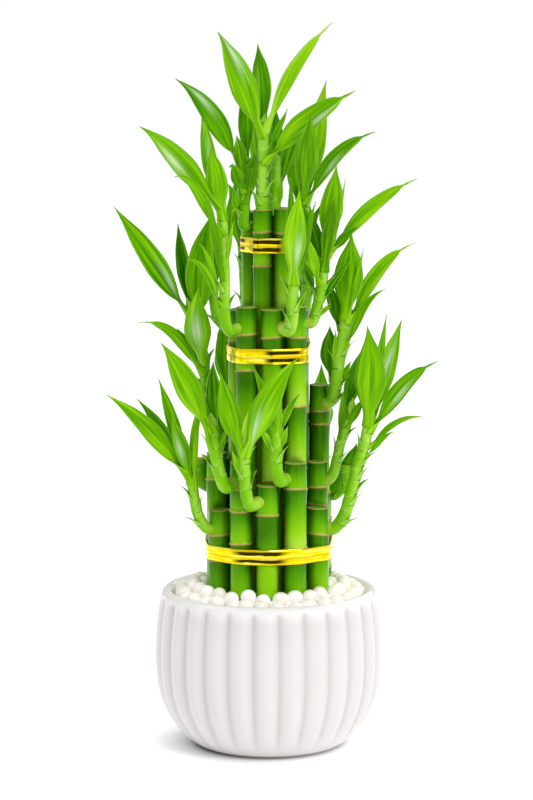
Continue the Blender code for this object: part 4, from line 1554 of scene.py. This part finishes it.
SHOOTS = (
    Shoot("shoot_crown_front", "cane_top_front",
          ((-3, -5, 237), (-3, -6, 252), (-2.6, -7, 266), (-2, -7.5, 279)), (2.8, 1.9), (
        Leaf(0.86, (-22, -16, 314), 11.0, (-12.5, -16, 297), 0.44, 0, (0.78, -0.3, 1.0)),
        Leaf(0.94, (-5, 8, 309), 7.8, None, 0.3),
        Leaf(0.90, (27, -10, 318), 5.4, (9, -14, 298), 0.62, 0, None, True),
        Leaf(0.58, (37, -16, 289), 9.4, (15, -14, 276), 0.46, 0, (0.62, 0.5, 0.8), True),
        Leaf(0.74, (8, -2, 281), 2.4, (5, -3, 274), 0.4),
    ), bracts=((0.06, 200.0), (0.15, 350.0), (0.26, 175.0), (0.34, 20.0)), light=0.6),
    Shoot("shoot_crown_right", "cane_top_right",
          ((3, -3, 237), (3, -1, 250), (3, 1, 262)), (2.3, 2.0), (
        Leaf(0.90, (3, 6, 281), 6.6, None, 0.3),
        Leaf(0.60, (15, 14, 272), 7.0, (9, 8, 265), 0.3),
        Leaf(0.30, (6, -6, 250), 2.6, None, 0.5),
    ), light=0.38),
    Shoot("shoot_crown_left", "cane_top_left",
          ((-8, 2, 230), (-11, -3, 231), (-11, -5, 238), (-11, -5, 250), (-11, -5, 263)),
          (2.5, 2.2), (
        Leaf(0.95, (-10, -3, 295), 6.4, None, 0.36),
        Leaf(0.92, (-40, -14, 294), 8.6, (-26, -11, 282), 0.34, 0, (0.72, 0.3, 0.9)),
        Leaf(0.66, (-17, -13, 256), 5.2, (-15, -13, 257), 0.22),
        Leaf(0.72, (-6, -11, 262), 5.6, None, 0.14),
        Leaf(0.84, (-14, -14, 270), 5.4, None, 0.24),
        Leaf(0.56, (-5, -8, 263), 5.0, (-7, -9, 257), 0.2),
        Leaf(0.45, (-18, -9, 249), 3.8, (-16, -9, 246), 0.4),
        Leaf(0.30, (-16, -12, 235), 1.6, (-15, -10, 239), 0.6),
    ), light=0.3),
    Shoot("shoot_upper_right", "cane_top_right",
          ((8, -2.5, 211), (13, -1, 216), (15, 0.5, 230), (14.8, 0, 252)), (2.4, 2.2), (
        Leaf(0.90, (18, -23, 280), 9.8, (16, -17, 264), 0.28),
        Leaf(0.86, (25, 9, 293), 9.0, (21, 6, 274), 0.52),
        Leaf(0.84, (46, -2, 271), 6.0, (28, -4, 262), 0.36, 0, (0.45, 0.4, 0.8), True),
        Leaf(0.80, (6, 8, 264), 7.4, (11, 6, 258), 0.46),
        Leaf(0.45, (23, -6, 240), 3.0, (20, -5, 235), 0.3),
    )),
    Shoot("shoot_mid_front_left", "cane_mid_front_left",
          ((-13, -15.5, 187), (-17, -19, 186), (-19, -21.5, 192), (-19, -22, 206),
           (-19.5, -21, 222), (-20, -20, 234), (-21, -18, 248)), (2.4, 2.0), (
        Leaf(0.86, (-25, -26, 266), 8.8, None, 0.42),
        Leaf(0.95, (-29, -10, 280), 6.2, (-27, -14, 268), 0.55, 0, (0.5, 0.2, 1.0)),
        Leaf(0.92, (-55, -26, 274), 9.2, (-41, -27, 264), 0.42, 0, (0.6, 0.5, 0.9)),
        Leaf(0.76, (-40, -34, 253), 4.6, (-32, -30, 251), 0.38),
        Leaf(0.50, (-27, -30, 244), 3.2, (-24, -27, 234), 0.3),
        Leaf(0.66, (-15, -12, 248), 2.6, (-17, -14, 242), 0.36),
        Leaf(0.60, (-15, -26, 234), 1.5, (-16, -25, 230), 0.6),
        Leaf(0.44, (-30, -24, 224), 2.0, (-27, -24, 221), 0.6),
        Leaf(0.34, (-35, -28, 218), 3.4, (-27, -26, 214), 0.48),
    ), bracts=((0.26, 15.0), (0.36, 200.0)), light=0.46),
    Shoot("shoot_mid_left", "cane_mid_left",
          ((-17, -3, 187), (-21, -3, 188), (-23.5, -2, 194), (-25.5, 0, 207)), (2.4, 1.9), (
        Leaf(0.92, (-21, 10, 235), 6.6, None, 0.24),
        Leaf(0.90, (-31, 12, 222), 5.2, None, 0.4),
    )),
    Shoot("shoot_far_left", "cane_low_left_back",
          ((-24, 14, 143), (-27.5, 10.5, 146), (-28, 6, 160), (-29, 2, 174), (-32, 0, 185),
           (-36, -2, 199)), (2.5, 2.0), (
        Leaf(0.93, (-67, -10, 239), 9.2, (-53, -9, 220), 0.44, 0, (0.3, 0.3, 0.8)),
        Leaf(0.95, (-40, 8, 231), 6.2, None, 0.18),
        Leaf(0.84, (-25, -4, 235), 12.0, (-30, -7, 218), 0.4),
        Leaf(0.58, (-30, -20, 205), 11.0, (-32, -17, 193), 0.44, 0, (0.5, 0.1, 1.1)),
        Leaf(0.50, (-57, -14, 189), 4.8, (-42, -11, 187), 0.4, 0, None, True),
        Leaf(0.45, (-41, 14, 184), 4.2, None, 0.3),
        Leaf(0.36, (-25, -3, 169), 2.2, (-26, -2, 164), 0.4),
    ), light=0.42),
    Shoot("shoot_low_mid_left", "cane_low_front_left",
          ((-15.5, -28, 121), (-19, -30.5, 120), (-22, -31.5, 129), (-24, -31, 140),
           (-25, -31, 152)), (2.8, 2.4), (
        Leaf(0.90, (-46, -38, 183), 10.4, (-37, -38, 170), 0.44),
        Leaf(0.94, (-24, -27, 174), 6.2, None, 0.2),
        Leaf(0.72, (-28, -35, 150), 2.4, None, 0.5),
        Leaf(0.62, (-18, -32, 146), 2.4, None, 0.5),
    ), bracts=((0.38, 160.0), (0.5, 10.0), (0.62, 185.0)), light=0.46),
    Shoot("shoot_low_left", "cane_low_left_front",
          ((-25.5, -18, 99), (-28.5, -19, 101), (-31.5, -20, 108), (-33, -20, 117),
           (-36, -20, 130)), (2.4, 2.0), (
        Leaf(0.90, (-70, -24, 159), 8.0, (-53, -24, 146), 0.44),
        Leaf(0.94, (-58, -6, 155), 5.4, (-48, -10, 144), 0.3),
        Leaf(0.95, (-48, -14, 165), 5.4, None, 0.42),
        Leaf(0.84, (-42, -30, 151), 6.4, None, 0.4, 0, (0.5, 0.2, 0.9)),
        Leaf(0.76, (-25, -22, 160), 3.6, (-33, -24, 146), 0.5),
    ), bracts=((0.2, 200.0), (0.36, 350.0), (0.5, 175.0), (0.68, 15.0), (0.76, 180.0)),
       light=0.48),
    Shoot("shoot_front_left", "cane_low_front",
          ((-4.6, -30, 113), (-8, -33, 112.3), (-9.8, -34.8, 117.5), (-10.5, -35.6, 128),
           (-11, -36, 144)), (2.7, 2.3), (
        Leaf(0.88, (-21, -42, 171), 9.0, (-17, -41, 155), 0.36),
        Leaf(0.84, (12, -44, 177), 10.4, (0, -46, 162), 0.44, 0, (0.3, 0.2, 0.8)),
        Leaf(0.93, (-9, -41, 154), 4.2, None, 0.6),
        Leaf(0.62, (-16, -39, 137), 2.4, None, 0.5),
    ), bracts=((0.38, 20.0), (0.5, 180.0), (0.66, 350.0)), light=0.46),
    Shoot("shoot_front_mid", "cane_low_front_right",
          ((7.3, -26.8, 122.6), (4.6, -30, 122.6), (3, -32, 129), (3, -33.4, 140),
           (3, -33.5, 151)), (2.8, 2.4), (
        Leaf(0.92, (13, -36, 161), 3.0, None, 0.4),
        Leaf(0.95, (-7, -34, 173), 3.4, None, 0.4),
        Leaf(0.90, (4, -37, 159), 3.6, None, 0.5),
        Leaf(0.72, (8, -37, 147), 2.8, None, 0.55),
        Leaf(0.70, (-5, -38, 147), 2.8, None, 0.55),
    ), bracts=((0.44, 340.0), (0.58, 180.0)), light=0.5),
    Shoot("shoot_mid_front_right", "cane_mid_front",
          ((5.3, -17, 187.3), (8.6, -20, 186.6), (10, -22, 193), (10, -22.5, 202),
           (11, -22, 217)), (2.8, 2.5), (
        Leaf(0.84, (13, -27, 247), 9.2, (11, -29, 229), 0.6, 0, (0.36, -0.35, 0.9)),
        Leaf(0.90, (9, -12, 252), 3.8, None, 0.3),
        Leaf(0.92, (20, -22, 242), 3.2, (17, -24, 232), 0.3),
        Leaf(0.55, (16, -26, 204), 2.6, None, 0.45),
    ), bracts=((0.24, 200.0), (0.42, 350.0), (0.6, 170.0)), light=0.62),
    Shoot("shoot_mid_right", "cane_mid_front_right",
          ((16, -12.5, 189), (19, -10.5, 189.5), (21, -10, 196), (23, -10, 206),
           (24.5, -10, 217), (27, -10, 227)), (2.4, 2.0), (
        Leaf(0.88, (64, -8, 251), 6.0, (44, -8, 240), 0.52, 0, None, True),
        Leaf(0.92, (39, -14, 231), 3.8, (33, -12, 227), 0.26),
        Leaf(0.95, (29, -13, 257), 9.6, None, 0.38),
        Leaf(0.74, (28, -20, 243), 6.2, None, 0.18),
        Leaf(0.90, (33, -12, 251), 1.8, (31, -11, 240), 0.5),
        Leaf(0.82, (15, -3, 239), 6.4, (19, -5, 229), 0.28),
        Leaf(0.60, (17, -17, 226), 4.4, (19, -15, 218), 0.6),
        Leaf(0.50, (14, -6, 216), 3.0, (17, -8, 211), 0.34),
        Leaf(0.46, (36, -8, 216), 3.6, (30, -9, 210), 0.2),
        Leaf(0.30, (27, -14, 196), 2.0, None, 0.5),
    ), bracts=((0.2, 350.0), (0.34, 180.0), (0.46, 10.0)), light=0.48),
    Shoot("shoot_right", "cane_low_right_mid",
          ((24.5, 4.5, 151), (28, 2.5, 154), (29.5, 0, 162), (31, 0, 172), (33, 0, 185),
           (34, 0, 199)), (2.8, 2.4), (
        Leaf(0.90, (36, -5, 227), 12.2, None, 0.42),
        Leaf(0.86, (63, 2, 222), 6.0, (48, 0, 213), 0.6, 0, None, True),
        Leaf(0.92, (41, -7, 221), 2.2, (39, -6, 211), 0.5),
        Leaf(0.80, (23, 4, 207), 5.0, (27, 3, 202), 0.28),
        Leaf(0.66, (51, -4, 203), 3.8, (41, -3, 196), 0.4),
        Leaf(0.36, (27, 12, 185), 9.0, (27, 8, 172), 0.3),
        Leaf(0.50, (29, -3, 185), 2.2, None, 0.5),
        Leaf(0.40, (36, -2, 171), 2.2, None, 0.5),
    ), bracts=((0.14, 345.0), (0.24, 10.0), (0.4, 190.0), (0.52, 350.0)), light=0.46),
    Shoot("shoot_low_right", "cane_low_right_front",
          ((25.5, -17.3, 99.3), (29, -18, 100), (33, -19, 106), (35.5, -19, 115),
           (38.5, -19, 127), (42, -19, 139), (44.5, -19, 155)), (2.7, 2.3), (
        Leaf(0.90, (42, -27, 189), 12.8, (44, -28, 172), 0.36),
        Leaf(0.86, (73, -20, 173), 6.8, (58, -20, 164), 0.4, 0, (0.5, 0.4, 0.8), True),
        Leaf(0.92, (58, -6, 190), 8.0, (52, -9, 172), 0.62, 0, (0.6, 0.0, 1.0)),
        Leaf(0.95, (51, -14, 193), 3.6, None, 0.4),
        Leaf(0.76, (67, -22, 149), 2.6, (55, -22, 148), 0.46),
        Leaf(0.70, (54, -24, 143), 2.4, (49, -22, 140), 0.46),
    ), bracts=((0.14, 330.0), (0.28, 350.0), (0.36, 10.0), (0.46, 345.0), (0.56, 0.0),
               (0.66, 190.0)), light=0.46),
    Shoot("shoot_right_back", "cane_low_right",
          ((25, -5, 118.5), (28, -5, 121), (30, -5, 129), (32, -5, 137), (35, -4, 146),
           (37, -3, 155)), (2.3, 1.9), (
        Leaf(0.88, (42, 0, 178), 7.4, None, 0.22),
        Leaf(0.66, (32, -9, 159), 3.2, None, 0.3),
        Leaf(0.78, (42, -9, 156), 3.4, None, 0.3),
    ), bracts=((0.3, 350.0), (0.42, 180.0), (0.56, 10.0)), light=0.5),
    Shoot("shoot_right_back_low", "cane_low_right_back",
          ((27, 16, 108.5), (30, 14, 109), (33.5, 11, 114), (35, 10, 120)), (2.2, 1.9), (
        Leaf(0.86, (39, 9, 133), 7.0, None, 0.3),
    )),
    Shoot("shoot_stub_left", "cane_low_left_mid",
          ((-25.5, 6, 115), (-29, 5, 117), (-31, 4.5, 121), (-31.5, 4.5, 127)), (3.9, 4.2), (),
          bracts=(), light=0.1, pruned=True),
    Shoot("shoot_stub_right", "cane_low_right_back",
          ((27, 15, 112), (31, 13, 114), (33, 12, 118), (33.4, 12, 123)), (3.4, 3.6), (),
          bracts=(), light=0.2, pruned=True, part_of="shoot_right_back_low"),
    Shoot("shoot_back_crown", "cane_top_back",
          ((2, 6, 229), (2, 11, 230), (1.5, 14, 236), (0, 16, 248)), (2.4, 2.0), (
        Leaf(0.95, (-8, 24, 284), 8.5),
        Leaf(0.92, (3, 46, 268), 8.5, (3, 33, 262)),
        Leaf(0.90, (12, 26, 262), 6.0),
    ), BACKWARD),
    Shoot("shoot_back_upper", "cane_mid_back_left",
          ((-8, 17, 186), (-9, 21.5, 186), (-10, 24, 193), (-11, 25, 208), (-11, 26, 222)),
          (2.6, 2.2), (
        Leaf(0.95, (-14, 33, 254), 9.0),
        Leaf(0.92, (-18, 56, 243), 8.5, (-15, 42, 237)),
        Leaf(0.60, (-5, 44, 226), 6.0, (-7, 35, 221)),
    ), BACKWARD),
    Shoot("shoot_back_mid", "cane_mid_back_right",
          ((13.5, 15.5, 184), (15, 20, 184), (16, 22.5, 190), (17, 24, 201), (17, 25, 213)),
          (2.6, 2.2), (
        Leaf(0.95, (16, 34, 244), 9.0),
        Leaf(0.92, (21, 56, 232), 8.5, (19, 42, 228)),
        Leaf(0.65, (8, 45, 214), 6.0, (12, 36, 209)),
    ), BACKWARD),
    Shoot("shoot_back_low_left", "cane_low_back_left",
          ((-15.5, 26, 124), (-17, 31, 124), (-18, 34, 131), (-18, 36, 144), (-18, 37, 156)),
          (2.7, 2.3), (
        Leaf(0.95, (-20, 46, 190), 10.0),
        Leaf(0.92, (-24, 68, 176), 8.5, (-21, 53, 171)),
        Leaf(0.65, (-8, 56, 161), 6.0, (-12, 47, 156)),
    ), BACKWARD),
    Shoot("shoot_back_low", "cane_low_back_mid",
          ((6.4, 28, 130), (7, 33, 130), (7, 35.5, 137), (7, 37, 150), (6, 38, 163)),
          (2.7, 2.3), (
        Leaf(0.95, (2, 47, 197), 10.0),
        Leaf(0.92, (9, 70, 184), 8.5, (8, 55, 179)),
        Leaf(0.65, (16, 58, 168), 6.0, (12, 48, 163)),
    ), BACKWARD),
    Shoot("shoot_back_low_right", "cane_low_back_right",
          ((17.5, 28, 104), (20, 32, 104), (22, 34, 111), (23, 35, 123), (23.5, 36, 134)),
          (2.6, 2.2), (
        Leaf(0.95, (24, 46, 164), 9.0),
        Leaf(0.92, (27, 66, 151), 8.0, (26, 52, 148)),
        Leaf(0.65, (14, 54, 140), 6.0, (18, 46, 134)),
    ), BACKWARD),
)


CANE_RINGS = {
    "cane_top_front": (228.0, 213.0), "cane_top_right": (228.0,), "cane_top_left": (222.0,),
    "cane_top_back": (218.0,), "cane_mid_front": (183.0, 151.0, 120.0),
    "cane_mid_front_left": (184.0, 168.0, 140.0), "cane_mid_front_right": (183.0, 153.0, 125.0),
    "cane_mid_left": (181.0, 150.0), "cane_mid_right": (180.0, 148.0),
    "cane_mid_back_left": (179.0, 148.0), "cane_mid_back": (176.0, 150.0),
    "cane_mid_back_right": (172.0, 145.0), "cane_low_front": (107.0,),
    "cane_low_front_left": (119.0, 109.0, 94.0), "cane_low_front_right": (118.0, 92.0),
    "cane_low_left_front": (97.0, 86.0), "cane_low_right_front": (97.0,),
    "cane_low_left": (119.0, 96.0), "cane_low_right": (116.0, 108.0),
    "cane_low_left_mid": (117.0, 109.0), "cane_low_right_mid": (148.0, 142.0, 112.0),
    "cane_low_left_back": (133.0, 112.0), "cane_low_right_back": (98.0, 76.0),
    "cane_low_back_left": (118.0, 92.0), "cane_low_back": (108.0, 84.0),
    "cane_low_back_mid": (125.0, 98.0), "cane_low_back_right": (111.0, 86.0),
}


def main() -> None:
    """Builds the studio and then the plant from the bowl up."""
    logging.basicConfig(level=logging.INFO, format="%(name)s %(message)s")
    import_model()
    Studio().build()
    canes = [Cane(name, rings) for name, rings in CANE_RINGS.items()]
    Bowl().build(PorcelainFinish().material())
    Pebbles().build(PebbleFinish().material(), canes)
    skin = CaneFinish().material()
    for cane in canes:
        cane.build(skin, canes)
    foil = FoilFinish().material()
    for band in (FoilBand("band_top", "cane_top", 0, -93.0, 38.0),
                 FoilBand("band_mid", "cane_mid", 1, -76.0, 23.0),
                 FoilBand("band_low", "cane_low", 2)):
        band.build(foil, canes)
    leaf_finish, stem_finish = LeafFinish().material(), StemFinish().material()
    hosts = {cane.name: cane for cane in canes}
    for shoot in SHOOTS:
        stem = Stem(shoot, hosts[shoot.host])
        stem.build(stem_finish)
        for order, leaf in enumerate(shoot.leaves):
            Blade(leaf, shoot, stem, order).build(leaf_finish)


if __name__ == "__main__":
    main()
